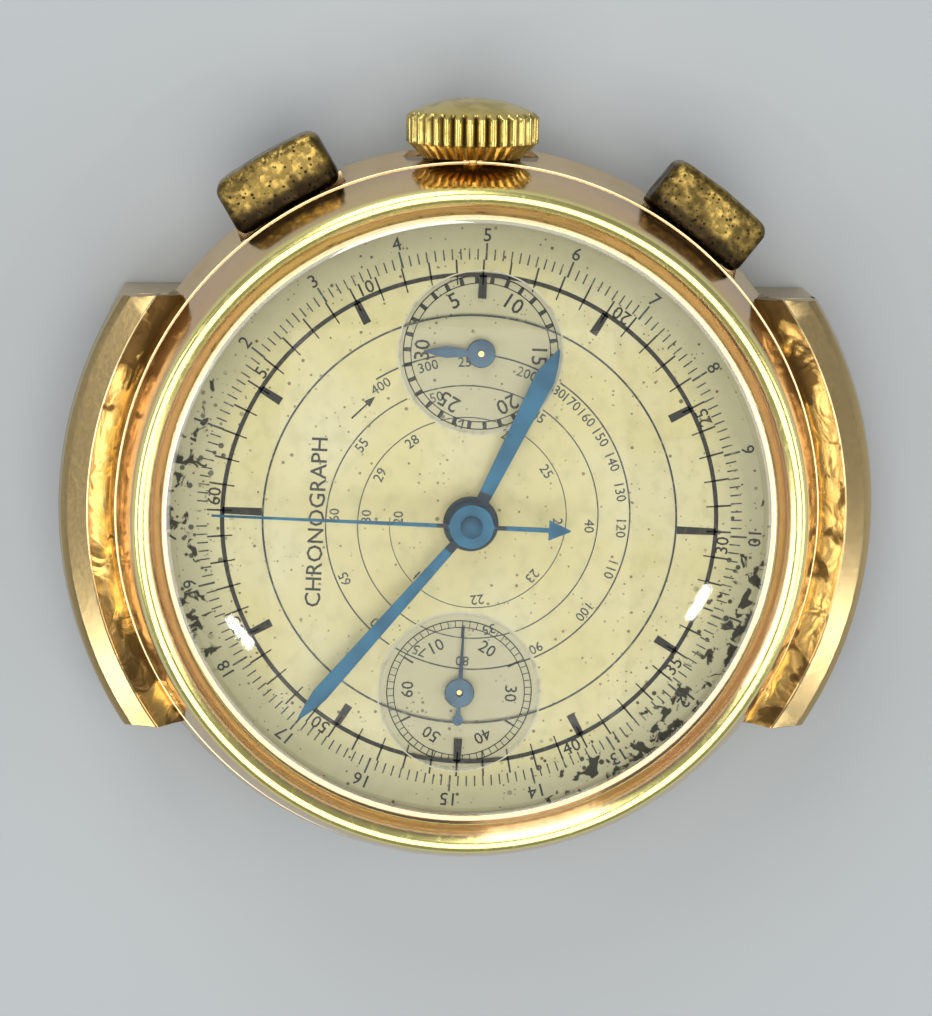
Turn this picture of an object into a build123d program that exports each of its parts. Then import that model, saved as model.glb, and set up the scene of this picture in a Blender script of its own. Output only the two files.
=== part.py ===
from build123d import *

import os
from math import asin, atan2, cos, degrees, hypot, radians, sin

# Two-register chronograph wristwatch head, in millimetres.
# +Z leaves the dial, +X runs to the crown at 3 o'clock, +Y to 12 o'clock.
# The origin is the centre of the case back's flat outer face.

# ---- driving dimensions: case ----
CASE_R = 18.70            # widest circle of the case band
CASE_WIDE_Z = 4.20        # height of that circle
BEZEL_FOOT_R = 18.00      # lower edge of the bezel's flank
BEZEL_FOOT_Z = 6.65
BEZEL_TOP_R = 16.94       # outer edge of the bezel's bright top
BEZEL_TOP_INNER_R = 16.30
BEZEL_TOP_Z = 10.10
BORE_R = 15.20            # room for the movement
NECK_R = 16.20            # neck of the case band that the bezel snaps on
BAND_BASE_Z = 1.70
CRYSTAL_R = 15.58
CRYSTAL_TOP_Z = 12.60
CRYSTAL_WALL = 0.68

# ---- driving dimensions: lugs, crown and pushers ----
LUG_R = 20.95             # outside of the hooded lugs
LUG_HALF = 11.10          # half length along the strap's width
LUG_PLATE = 1.30          # thickness of a lug's end plate
LUG_BASE_Z = 0.20
HOOD_BASE_Z = 4.40
STRAP_WALL_R = 17.25      # wall of the band behind the strap
STRAP_BAR_ARC_R = 19.55   # the bars are bent to the case's curve
STRAP_BAR_Z = 2.30
STRAP_BAR_R = 0.75
STEM_Z = 5.90             # height of the crown's axis
CROWN_R = 3.35
CROWN_BASE_X = 18.25
CROWN_FLUTES = 34
STEM_R = 0.50
TUBE_R = 0.73             # crown tube, outside
PUSHER_Z = 4.90
PUSHER_HEIGHT = 2.80
PUSHER_WIDTH = 5.90
PUSHER_IN = 18.00         # inner face of a released pusher's cap
PUSHER_OUT = 21.10        # crest of the cap's outer face
PUSHER_TRAVEL = 0.90
START_ANGLE = 30.3        # pusher by 2 o'clock
RESET_ANGLE = -38.1       # pusher by 4 o'clock

# ---- driving dimensions: dial and movement ----
DIAL_R = 15.68
DIAL_TOP_Z = 8.40
DIAL_THICK = 0.40
REGISTER_R = 4.15         # sunk subsidiary dials
REGISTER_SINK = 0.12
PLATE_R = 14.60
PLATE_TOP_Z = 7.20
PLATE_BASE_Z = 6.00
BRIDGE_TOP_Z = 4.40
BRIDGE_BASE_Z = 3.60
SEAT = 0.03               # running clearance of a pivot, radial
CASE_SCREW_R = 13.45
CASE_SCREW_ANGLES = (95, 262)
DIAL_FOOT_R = 13.95
DIAL_FOOT_ANGLES = (70, 235)

# ---- hands, as turned from 12 o'clock at rest ----
MINUTE_HAND_TURN = -310.8
HOUR_HAND_TURN = -116.0
SMALL_SECONDS_TURN = -93.0
DIAL_TURN = -2.3          # the dial sits a little clockwise of the crown

# ---- tooth counts ----
BARREL_TEETH, CENTRE_LEAVES = 80, 12
CENTRE_TEETH, THIRD_LEAVES = 80, 10
THIRD_TEETH, FOURTH_LEAVES = 75, 10
FOURTH_TEETH, ESCAPE_LEAVES = 80, 8
ESCAPE_TEETH = 15
CANNON_LEAVES, MINUTE_TEETH = 12, 36
MINUTE_LEAVES, HOUR_TEETH = 10, 40
CHRONO_TEETH, COUPLING_TEETH = 120, 42
COUNTER_TEETH, INTERMEDIATE_TEETH = 30, 34
RATCHET_TEETH, CROWN_WHEEL_TEETH, WINDING_LEAVES = 44, 22, 11

FROM_BASE = (Align.CENTER, Align.CENTER, Align.MIN)


def polar(radius, angle):
    """Point at a radius and an angle in degrees from the crown's axis."""
    return (radius * cos(radians(angle)), radius * sin(radians(angle)))


def between(start, end):
    """Direction in degrees and distance from one point to another."""
    dx = end[0] - start[0]
    dy = end[1] - start[1]
    return degrees(atan2(dy, dx)), hypot(dx, dy)


def along(start, end, distance):
    """Point at a distance from start on the line to end."""
    angle, _ = between(start, end)
    step = polar(distance, angle)
    return (start[0] + step[0], start[1] + step[1])


# ---- places of the arbors ----
CENTRE = (0.0, 0.0)
SECONDS = polar(8.90, 177.2)
COUNTER = polar(8.60, -2.9)
BARREL = polar(5.75, 41.6)
THIRD = (-4.545, -1.293)
ESCAPE = (-8.30, -4.20)
BALANCE = (-4.60, -8.30)
PALLET = along(ESCAPE, BALANCE, 2.31)
MINUTE_WHEEL = polar(3.00, 120.0)
CROWN_WHEEL = (10.40, 1.30)
COLUMN = (2.20, 11.00)
CLICK = (8.20, 7.90)
INTERMEDIATE = along(CENTRE, COUNTER, 5.08)
COUPLING = (-4.48, 1.05)
START_PIVOT = (9.50, 9.20)
HAMMER_PIVOT = (2.50, -10.50)
BRAKE_PIVOT = (6.50, -3.60)
SETTING_PIVOT = (13.30, -3.00)
YOKE_PIVOT = (11.40, 4.00)
COCK_FOOT = (1.20, -12.20)
BRIDGE_PILLARS = ((-2.00, 4.60), (12.20, -3.00))


# ---- small building blocks ----
def disc(radius, low, high, at=CENTRE):
    """Upright cylinder between two heights."""
    return Pos(at[0], at[1], low) * Cylinder(radius, high - low, align=FROM_BASE)


def ring(outer, inner, low, high, at=CENTRE):
    """Upright tube between two heights."""
    return disc(outer, low, high, at) - disc(inner, low - 0.1, high + 0.1, at)


def turned(profile):
    """Solid turned about the Z axis from (radius, height) points."""
    outline = Polyline(*[(r, 0, z) for r, z in profile], close=True)
    return revolve(make_face(outline), Axis.Z)


def arm(start, end, width, low, high):
    """Flat bar with rounded ends from one point to another."""
    angle, length = between(start, end)
    bar = Box(length, width, high - low, align=(Align.MIN, Align.CENTER, Align.MIN))
    bar = Pos(start[0], start[1], low) * Rot(0, 0, angle) * bar
    return bar + disc(width / 2, low, high, start) + disc(width / 2, low, high, end)


def toothed(module, teeth, low, high, at=CENTRE, turn=0.0):
    """Spur wheel whose first tooth points along turn, in degrees."""
    root = module * (teeth / 2 - 1.2)
    tip = module * (teeth / 2 + 0.9)
    pitch = 360 / teeth
    corners = ((root, -0.28), (tip, -0.10), (tip, 0.10), (root, 0.28))
    points = [polar(r, turn + (i + side) * pitch) for i in range(teeth) for r, side in corners]
    return Pos(at[0], at[1], low) * extrude(Polygon(*points, align=None), high - low)


def meshing(start, end, teeth):
    """Turn of a pinion at end, whose gap faces a tooth of the wheel at start."""
    angle, _ = between(start, end)
    return angle + 180 + 180 / teeth


def crossed(blank, outer, inner, spokes, width, low, high, at=CENTRE):
    """Wheel blank with its web cut away between spokes."""
    web = ring(outer, inner, low - 0.1, high + 0.1, at)
    for i in range(spokes):
        spoke = Box(outer, width, high - low + 1, align=(Align.MIN, Align.CENTER, Align.MIN))
        web -= Pos(at[0], at[1], low - 0.5) * Rot(0, 0, 360 * i / spokes) * spoke
    return blank - web


def heart(radius, low, high, at, turn):
    """Heart cam: the radius grows evenly both ways round from its notch."""
    steps = 18
    least = 0.32 * radius
    angles = [180 * i / steps for i in range(steps + 1)]
    side = [(least + (radius - least) * a / 180, a) for a in angles]
    points = [polar(r, turn + a) for r, a in side]
    points += [polar(r, turn - a) for r, a in reversed(side[1:-1])]
    return Pos(at[0], at[1], low) * extrude(Polygon(*points, align=None), high - low)


def radial(solid, angle):
    """Solid drawn along +X, turned to an angle about the centre."""
    return Rot(0, 0, angle) * solid


def cap_arc(edge, top):
    """Arc from (radius, height) edge to a crest of height top on the axis."""
    rise = top - edge[1]
    sphere = (edge[0] ** 2 + rise ** 2) / (2 * rise)
    half = edge[0] / 2
    drop = sphere - (sphere ** 2 - half ** 2) ** 0.5
    return ThreePointArc((edge[0], 0, edge[1]), (half, 0, top - drop), (0, 0, top))


def lying(radius, start, end, height, y=0.0):
    """Cylinder along X between two X values."""
    bar = Cylinder(radius, end - start, align=FROM_BASE)
    return Pos(start, y, height) * Rot(0, 90, 0) * bar


# ---- case ----
def mid_case():
    """Case band with seats for bezel and back, pusher pockets and strap recesses."""
    band = turned((
        (BORE_R, BAND_BASE_Z), (17.20, BAND_BASE_Z), (18.25, 2.50), (CASE_R, CASE_WIDE_Z),
        (BEZEL_FOOT_R + 0.05, BEZEL_FOOT_Z - 0.05), (NECK_R, BEZEL_FOOT_Z - 0.05),
        (NECK_R, 8.40), (15.75, 8.40), (15.75, 7.95), (BORE_R, 7.95),
    ))
    band -= lying(CROWN_R + 0.2, CROWN_BASE_X - 0.1, 22, STEM_Z)
    band -= lying(TUBE_R, 14, 20, STEM_Z)
    for angle in (START_ANGLE, RESET_ANGLE):
        size = (4, PUSHER_WIDTH + 0.2, PUSHER_HEIGHT + 0.2)
        pocket = Pos(PUSHER_IN - PUSHER_TRAVEL - 0.1, 0, PUSHER_Z)
        pocket *= Box(*size, align=(Align.MIN, Align.CENTER, Align.CENTER))
        band -= radial(pocket, angle)
        band -= radial(lying(1.00, 14, 20, PUSHER_Z), angle)
    strap_way = Box(2 * (LUG_HALF - LUG_PLATE), 60, HOOD_BASE_Z, align=FROM_BASE)
    return band - (ring(22, STRAP_WALL_R, 0, HOOD_BASE_Z) & strap_way)


def bezel():
    """Snap-on bezel: long outer flank, narrow bright top, slope down to the crystal."""
    flank_middle = ((BEZEL_FOOT_R + BEZEL_TOP_R) / 2 + 0.12, 0, (BEZEL_FOOT_Z + BEZEL_TOP_Z) / 2)
    flank = ThreePointArc((BEZEL_FOOT_R, 0, BEZEL_FOOT_Z), flank_middle, (BEZEL_TOP_R, 0, BEZEL_TOP_Z - 0.12))
    crown_line = ThreePointArc(
        (BEZEL_TOP_R, 0, BEZEL_TOP_Z - 0.12),
        ((BEZEL_TOP_R + BEZEL_TOP_INNER_R) / 2, 0, BEZEL_TOP_Z + 0.04),
        (BEZEL_TOP_INNER_R, 0, BEZEL_TOP_Z - 0.08),
    )
    inside = Polyline(
        (BEZEL_TOP_INNER_R, 0, BEZEL_TOP_Z - 0.08), (CRYSTAL_R + 0.04, 0, 9.30),
        (CRYSTAL_R + 0.04, 0, 8.75), (15.30, 0, 8.75), (15.30, 0, 8.45),
        (NECK_R + 0.02, 0, 8.45), (NECK_R + 0.02, 0, BEZEL_FOOT_Z), (BEZEL_FOOT_R, 0, BEZEL_FOOT_Z),
    )
    return revolve(make_face([flank, crown_line, inside]), Axis.Z)


def crystal():
    """Domed clear crystal, open below."""
    inner_r = CRYSTAL_R - CRYSTAL_WALL
    low, wall_top, inner_top, thick = 8.78, 9.75, 9.85, 0.85
    dome_r, dome_z = CRYSTAL_R - 0.42, wall_top + 0.42
    shoulder = ThreePointArc((CRYSTAL_R, 0, wall_top), (CRYSTAL_R - 0.12, 0, wall_top + 0.30), (dome_r, 0, dome_z))
    dome = cap_arc((dome_r, dome_z), CRYSTAL_TOP_Z)
    axis = Line((0, 0, CRYSTAL_TOP_Z), (0, 0, CRYSTAL_TOP_Z - thick))
    under = cap_arc((inner_r, inner_top), CRYSTAL_TOP_Z - thick)
    wall = Polyline((inner_r, 0, inner_top), (inner_r, 0, low), (CRYSTAL_R, 0, low), (CRYSTAL_R, 0, wall_top))
    return revolve(make_face([shoulder, dome, axis, under, wall]), Axis.Z)


def case_back():
    """Snap-on back with a flat outer face to rest on."""
    return turned((
        (0, 0), (13.50, 0), (16.30, 0.55), (17.00, 1.10), (17.00, BAND_BASE_Z - 0.02),
        (BORE_R - 0.02, BAND_BASE_Z - 0.02), (BORE_R - 0.02, 2.30), (14.75, 2.30), (14.75, 1.30),
        (13.20, 0.80), (0, 0.80),
    ))


def lug_hood(side, others):
    """Hooded lug: dished top with a raised rim, over two end plates."""
    hood = turned((
        (17.60, HOOD_BASE_Z), (17.60, 5.55), (18.30, 5.60), (19.40, 6.75), (20.45, 6.50),
        (20.80, 6.20), (LUG_R, 5.60), (LUG_R, HOOD_BASE_Z), (19.95, HOOD_BASE_Z),
        (19.95, 5.10), (19.00, 5.10), (18.80, HOOD_BASE_Z),
    ))
    plates = ring(LUG_R, 16.50, LUG_BASE_Z, HOOD_BASE_Z + 0.01)
    keep = Box(2 * LUG_HALF, 12, 12, align=(Align.CENTER, Align.MIN, Align.MIN))
    inner = Box(2 * (LUG_HALF - LUG_PLATE), 12, 12, align=(Align.CENTER, Align.MIN, Align.MIN))
    cover = Pos(0, 12, 0) * keep
    lug = (hood & cover) + ((plates & cover) - Pos(0, 12, 0) * inner)
    ends = Box(2 * (LUG_HALF - 0.01), 12, 1.6, align=(Align.CENTER, Align.MIN, Align.MIN))
    end_fill = ring(LUG_R, 18.60, HOOD_BASE_Z, 5.20) & (Pos(0, 12, HOOD_BASE_Z) * ends)
    lug += end_fill - Pos(0, 12, 0) * inner
    lug = Rot(0, 0, 0 if side == 1 else 180) * lug
    for other in others:
        lug -= other
    return lug


def strap_bar(side):
    """Fixed bent bar that the strap loops round, its ends sunk in the end plates."""
    half_angle = degrees(asin((LUG_HALF - LUG_PLATE + 0.80) / STRAP_BAR_ARC_R))
    section = Plane.XZ * (Pos(STRAP_BAR_ARC_R, STRAP_BAR_Z) * Circle(STRAP_BAR_R))
    bar = revolve(section, Axis.Z, 2 * half_angle)
    return Rot(0, 0, 90 * side - half_angle) * bar


def crown_tube():
    """Tube pressed in the band, which the stem turns in."""
    return lying(TUBE_R, 15.25, 18.60, STEM_Z) - lying(STEM_R + SEAT, 14, 20, STEM_Z)


def pusher_tubes():
    """Tubes pressed in the band, one for each pusher's stem."""
    tube = lying(1.00, 15.25, 17.00, PUSHER_Z) - lying(0.60 + SEAT, 14, 20, PUSHER_Z)
    return Compound(children=[radial(tube, START_ANGLE), radial(tube, RESET_ANGLE)])


def movement_ring():
    """Spacer ring round the movement, notched for the stem and the pushers."""
    spacer = ring(BORE_R - 0.03, PLATE_R + 0.03, 2.35, 7.90)
    for angle, height, width in ((0, STEM_Z, 2.8), (START_ANGLE, PUSHER_Z, 3.0), (RESET_ANGLE, PUSHER_Z, 3.0)):
        spacer -= radial(Pos(15, 0, height) * Box(4, width, 2.8), angle)
    return spacer


def case_screws():
    """Two headed screws that hold the movement down in the case."""
    screws = []
    for angle in CASE_SCREW_ANGLES:
        at = polar(CASE_SCREW_R, angle)
        slot = Pos(at[0], at[1], 5.35) * Rot(0, 0, angle) * Box(2.2, 0.25, 0.3)
        screws.append(disc(0.85, 5.30, 6.00, at) + disc(0.45, 6.00, 7.10, at) - slot)
    return Compound(children=screws)


# ---- crown and winding ----
def crown():
    """Fluted crown with a domed end, hollow over its tube."""
    knurl_start = CROWN_BASE_X + 0.75
    knurl_end = CROWN_BASE_X + 2.05
    body = lying(CROWN_R, knurl_start, knurl_end, STEM_Z)
    flute_r = 0.16
    for i in range(CROWN_FLUTES):
        angle = radians(360 * (i + 0.5) / CROWN_FLUTES)
        height = STEM_Z + (CROWN_R + 0.03) * sin(angle)
        body -= lying(flute_r, knurl_start - 0.1, knurl_end + 0.1, height, (CROWN_R + 0.03) * cos(angle))
    rim = (CROWN_R - 0.28, 0.22)
    end_line = Polyline((0, 0, 0), (CROWN_R - 0.08, 0, 0), (rim[0], 0, rim[1]))
    end = revolve(make_face([end_line, cap_arc(rim, 0.92), Line((0, 0, 0.92), (0, 0, 0))]), Axis.Z)
    depth = knurl_start - CROWN_BASE_X
    base = turned(((0, 0), (2.55, 0), (CROWN_R - 0.10, depth), (0, depth)))
    body += Pos(knurl_end, 0, STEM_Z) * Rot(0, 90, 0) * end
    body += Pos(CROWN_BASE_X, 0, STEM_Z) * Rot(0, 90, 0) * base
    body -= lying(TUBE_R + 0.10, CROWN_BASE_X - 1, CROWN_BASE_X + 1.20, STEM_Z)
    return body - lying(STEM_R, CROWN_BASE_X, CROWN_BASE_X + 2.10, STEM_Z)


def winding_stem():
    """Stem from the crown's thread to the clutch, with a square and a groove."""
    stem = lying(STEM_R, 13.10, CROWN_BASE_X + 2.10, STEM_Z)
    stem += Pos(11.55, 0, STEM_Z) * Box(3.10, 0.62, 0.62)
    stem += lying(0.26, 9.30, 10.05, STEM_Z)
    return stem - (lying(0.70, 13.40, 13.75, STEM_Z) - lying(0.36, 13.30, 13.85, STEM_Z))


def leaf_ring(radius, root, leaves, start, end):
    """Pinion along X with rounded gaps between its leaves."""
    blank = lying(radius, start, end, STEM_Z)
    for i in range(leaves):
        angle = radians(360 * (i + 0.5) / leaves - 90)
        y = radius * cos(angle)
        blank -= lying(radius - root, start - 0.1, end + 0.1, STEM_Z + radius * sin(angle), y)
    return blank


def winding_pinion():
    """Winding pinion, which turns on the stem between plate and bridge."""
    return leaf_ring(0.95, 0.78, WINDING_LEAVES, 11.95, 12.75) - lying(0.46, 11, 14, STEM_Z)


def sliding_clutch():
    """Clutch that slides on the stem's square, with a groove for the yoke."""
    clutch = lying(0.90, 10.15, 11.80, STEM_Z)
    clutch -= lying(1.2, 10.80, 11.20, STEM_Z) - lying(0.62, 10.70, 11.30, STEM_Z)
    return clutch - Pos(11, 0, STEM_Z) * Box(3, 0.68, 0.68)


def setting_lever():
    """Lever that locks the stem's groove and swings as the crown is pulled."""
    lever = arm(SETTING_PIVOT, (13.50, -0.62), 0.7, 6.95, 7.15)
    lever += arm(SETTING_PIVOT, (11.20, -2.60), 0.6, 6.95, 7.15)
    return lever + disc(0.5, 6.0, 7.15, SETTING_PIVOT) + disc(0.16, 6.30, 7.15, (13.575, -0.36))


def yoke():
    """Yoke whose fork rides in the clutch's groove."""
    bar = arm(YOKE_PIVOT, (11.00, 1.30), 0.7, 6.95, 7.15)
    return bar + disc(0.42, 6.0, 7.15, YOKE_PIVOT) + disc(0.14, 6.20, 7.15, (11.00, 0.86))


def crown_wheel():
    """Crown wheel: contrate ring over the winding pinion, spur ring on the ratchet wheel."""
    at = CROWN_WHEEL
    wheel = disc(2.15, 4.50, 4.72, at) + disc(0.80, 3.66, 4.50, at)
    for i in range(CROWN_WHEEL_TEETH):
        tooth = Box(0.45, 0.22, 0.24, align=(Align.MAX, Align.CENTER, Align.MIN))
        wheel += Pos(at[0], at[1], 4.72) * Rot(0, 0, 360 * i / CROWN_WHEEL_TEETH) * Pos(2.15, 0, 0) * tooth
    angle, _ = between(BARREL, at)
    return wheel + toothed(0.20, CROWN_WHEEL_TEETH, 3.66, 3.92, at, angle + 180)


def ratchet_wheel():
    """Ratchet wheel on the barrel arbor's square."""
    wheel = toothed(0.20, RATCHET_TEETH, 3.66, 3.92, BARREL, meshing(CROWN_WHEEL, BARREL, RATCHET_TEETH))
    return wheel - Pos(BARREL[0], BARREL[1], 3.8) * Box(0.9, 0.9, 1)


def barrel_arbor():
    """Barrel arbor with its hook, its square and the ratchet wheel's screw."""
    arbor = disc(0.60, 4.00, 6.95, BARREL) + disc(1.10, 5.45, 6.20, BARREL)
    arbor += Pos(BARREL[0], BARREL[1], 3.80) * Box(0.88, 0.88, 0.42)
    return arbor + disc(1.05, 3.40, 3.64, BARREL)


def click():
    """Click that stops the ratchet wheel from running back."""
    pawl = arm(CLICK, (7.70, 7.30), 0.5, 3.66, 3.92) + disc(0.55, 3.66, 3.92, CLICK)
    return pawl + disc(0.30, 3.92, 4.30, CLICK)


# ---- power and going train ----
def barrel():
    """Toothed barrel drum, which the mainspring lies in."""
    angle, _ = between(BARREL, CENTRE)
    drum = toothed(0.125, BARREL_TEETH, 5.05, 5.35, BARREL, angle) + disc(4.80, 5.30, 6.40, BARREL)
    drum -= disc(4.55, 5.20, 6.50, BARREL)
    return drum - disc(0.60 + SEAT, 5.0, 6.7, BARREL)


def barrel_cover():
    """Cover snapped in the barrel's rim."""
    return ring(4.80, 0.60 + SEAT, 6.41, 6.58, BARREL)


def mainspring():
    """Mainspring coiled in the barrel, as a strip along an opening spiral."""
    turns, inner, outer, thick = 7, 1.40, 4.25, 0.16
    steps = 12 * turns
    sweep = [(inner + (outer - inner) * i / steps, 360 * turns * i / steps) for i in range(steps + 1)]
    out = [polar(r + thick / 2, a) for r, a in sweep]
    back = [polar(r - thick / 2, a) for r, a in reversed(sweep)]
    strip = extrude(Polygon(*(out + back), align=None), 0.95)
    return Pos(BARREL[0], BARREL[1], 5.36) * strip


def centre_wheel():
    """Centre wheel and pinion on a hollow arbor that carries the cannon pinion."""
    angle, _ = between(CENTRE, THIRD)
    wheel = crossed(toothed(0.105, CENTRE_TEETH, 4.55, 4.75, CENTRE, angle), 3.60, 1.00, 5, 0.5, 4.55, 4.75)
    wheel += toothed(0.125, CENTRE_LEAVES, 4.75, 5.45, CENTRE, meshing(BARREL, CENTRE, CENTRE_LEAVES))
    wheel += disc(0.42, 4.42, 7.20) + disc(0.50, 7.19, 8.90)
    return wheel - disc(0.22, 4, 10)


def third_wheel():
    """Third wheel and pinion."""
    angle, _ = between(THIRD, SECONDS)
    wheel = crossed(toothed(0.11, THIRD_TEETH, 5.55, 5.75, THIRD, angle), 3.60, 0.80, 5, 0.4, 5.55, 5.75, THIRD)
    wheel += toothed(0.105, THIRD_LEAVES, 4.46, 4.90, THIRD, meshing(CENTRE, THIRD, THIRD_LEAVES))
    return wheel + disc(0.22, 4.46, 5.98, THIRD) + disc(0.12, 4.00, 6.60, THIRD)


def fourth_wheel():
    """Fourth wheel, pinion, chronograph driving wheel and long seconds arbor."""
    angle, _ = between(SECONDS, ESCAPE)
    plate = crossed(toothed(0.106, FOURTH_TEETH, 4.90, 5.10, SECONDS, angle), 3.75, 0.80, 4, 0.4, 4.90, 5.10, SECONDS)
    plate += toothed(0.11, FOURTH_LEAVES, 5.30, 5.85, SECONDS, meshing(THIRD, SECONDS, FOURTH_LEAVES))
    plate += disc(0.24, 4.46, 5.95, SECONDS) + disc(0.13, 2.60, 8.55, SECONDS)
    driver = toothed(0.055, CHRONO_TEETH, 3.05, 3.20, SECONDS)
    driver = crossed(driver, 2.90, 0.70, 4, 0.3, 3.05, 3.20, SECONDS)
    return plate + driver + disc(0.30, 2.90, 3.20, SECONDS)


def escape_wheel():
    """Escape wheel with hooked teeth, and its pinion."""
    tip, root, pitch = 2.00, 1.52, 360 / ESCAPE_TEETH
    corners = ((root, 0.00), (tip, 0.22), (tip, 0.34), (root + 0.05, 0.30))
    points = [polar(r, (i + side) * pitch + 5) for i in range(ESCAPE_TEETH) for r, side in corners]
    blank = Pos(ESCAPE[0], ESCAPE[1], 5.20) * extrude(Polygon(*points, align=None), 0.15)
    wheel = crossed(blank, 1.28, 0.45, 4, 0.25, 5.20, 5.35, ESCAPE)
    wheel += toothed(0.106, ESCAPE_LEAVES, 4.80, 5.20, ESCAPE, meshing(SECONDS, ESCAPE, ESCAPE_LEAVES))
    return wheel + disc(0.15, 4.46, 5.98, ESCAPE) + disc(0.09, 4.10, 6.50, ESCAPE)


def pallet_fork():
    """Pallet fork: two armed pallets and a notched lever."""
    angle, _ = between(PALLET, BALANCE)
    low, high = 5.20, 5.35
    fork = Box(2.10, 0.34, high - low, align=(Align.MIN, Align.CENTER, Align.MIN))
    fork = Pos(0, 0, low) * fork - Pos(2.10, 0, low - 0.1) * Box(0.55, 0.17, 0.5, align=FROM_BASE)
    fork += Pos(0, 0, low) * Box(0.42, 2.30, high - low, align=FROM_BASE)
    for side in (1, -1):
        stone = Pos(-0.36, side * 1.08, low) * Rot(0, 0, side * 12) * Box(0.62, 0.22, high - low, align=FROM_BASE)
        fork += stone
    fork += disc(0.30, 5.00, 5.50) + disc(0.13, 4.98, 5.98) + disc(0.08, 4.72, 6.45)
    return Pos(PALLET[0], PALLET[1], 0) * Rot(0, 0, angle) * fork


def balance_wheel():
    """Balance with timing screws, staff, roller and impulse pin."""
    low, high = 4.15, 4.52
    rim = ring(4.20, 3.80, low, high) + Pos(0, 0, low + 0.1) * Box(7.9, 0.7, 0.18, align=FROM_BASE)
    for i in range(16):
        angle = 360 * (i + 0.5) / 16
        screw = Pos(4.10, 0, (low + high) / 2) * Rot(0, 90, 0) * Cylinder(0.15, 0.38, align=FROM_BASE)
        rim += Rot(0, 0, angle) * screw
    rim += disc(0.45, 4.00, 5.10) + disc(0.12, 3.10, 6.45) + disc(0.80, 4.98, 5.10)
    pin = Pos(-1.02, 0, 0) * disc(0.065, 5.05, 5.34)
    rim += pin + Pos(-0.70, 0, 0) * Pos(0, 0, 4.98) * Box(0.75, 0.3, 0.12, align=FROM_BASE)
    angle, _ = between(PALLET, BALANCE)
    return Pos(BALANCE[0], BALANCE[1], 0) * Rot(0, 0, angle) * rim


def hairspring():
    """Flat hairspring between the balance staff's collet and its stud."""
    turns, inner, outer, thick = 9, 0.60, 2.30, 0.05
    steps = 16 * turns
    sweep = [(inner + (outer - inner) * i / steps, 360 * turns * i / steps) for i in range(steps + 1)]
    out = [polar(r + thick / 2, a) for r, a in sweep]
    back = [polar(r - thick / 2, a) for r, a in reversed(sweep)]
    coil = extrude(Polygon(*(out + back), align=None), 0.18)
    coil += ring(0.62, 0.14, 0, 0.18) + Pos(outer, 0, -0.25) * disc(0.16, 0, 0.45)
    return Pos(BALANCE[0], BALANCE[1], 3.72) * coil


# ---- motion work and hands ----
def cannon_pinion():
    """Cannon pinion, friction tight on the centre arbor, with the minute hand's seat."""
    tube = disc(0.70, 7.50, 9.75) + toothed(0.125, CANNON_LEAVES, 7.26, 7.50)
    return tube - disc(0.50 + SEAT, 7, 10)


def minute_wheel():
    """Minute wheel and pinion between cannon pinion and hour wheel."""
    turn = meshing(CENTRE, MINUTE_WHEEL, MINUTE_TEETH)
    wheel = toothed(0.125, MINUTE_TEETH, 7.28, 7.43, MINUTE_WHEEL, turn)
    wheel += toothed(0.12, MINUTE_LEAVES, 7.43, 7.80, MINUTE_WHEEL, turn)
    return wheel - disc(0.25, 7, 8, MINUTE_WHEEL)


def hour_wheel():
    """Hour wheel with the pipe that carries the hour hand."""
    angle, _ = between(CENTRE, MINUTE_WHEEL)
    wheel = toothed(0.12, HOUR_TEETH, 7.57, 7.74, CENTRE, angle) + disc(1.00, 7.57, 9.30)
    return wheel - disc(0.70 + SEAT, 7, 10)


def leaf_hand(length, wide_at, half_root, half_wide, thick, hub, bore, height, turn):
    """Flat hand that widens from its hub and then runs to a point."""
    outline = Polygon(
        (0, -half_root), (wide_at, -half_wide), (length, -0.04), (length, 0.04), (wide_at, half_wide),
        (0, half_root), align=None)
    blade = extrude(outline, thick) + Cylinder(hub, thick, align=FROM_BASE)
    blade -= Pos(0, 0, -0.1) * Cylinder(bore, 1, align=FROM_BASE)
    return Pos(0, 0, height) * Rot(0, 0, 90 + turn) * blade


def hour_hand():
    """Hour hand."""
    return leaf_hand(9.95, 8.30, 0.36, 0.60, 0.14, 1.40, 1.00, 9.15, HOUR_HAND_TURN)


def minute_hand():
    """Minute hand."""
    return leaf_hand(13.30, 11.60, 0.26, 0.46, 0.14, 1.15, 0.70, 9.58, MINUTE_HAND_TURN)


def small_seconds_hand():
    """Small seconds hand with a round counterweight."""
    hand = leaf_hand(3.60, 0.90, 0.20, 0.13, 0.10, 0.75, 0.13, 0, SMALL_SECONDS_TURN)
    tail = extrude(Polygon((0, 0.16), (-1.40, 0.10), (-1.40, -0.10), (0, -0.16), align=None), 0.10)
    tail += Pos(-1.42, 0, 0) * Cylinder(0.28, 0.10, align=FROM_BASE)
    tail -= Pos(0, 0, -0.1) * Cylinder(0.13, 1, align=FROM_BASE)
    hand += Rot(0, 0, 90 + SMALL_SECONDS_TURN) * tail
    hand += ring(0.38, 0.13, 0.05, 0.20)
    return Pos(SECONDS[0], SECONDS[1], 8.62) * hand


def minute_counter_hand():
    """Hand of the thirty-minute counter."""
    hand = leaf_hand(2.90, 1.75, 0.14, 0.34, 0.10, 0.72, 0.15, 0, DIAL_TURN)
    hand += ring(0.40, 0.15, 0.05, 0.20)
    return Pos(COUNTER[0], COUNTER[1], 8.62) * hand


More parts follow.
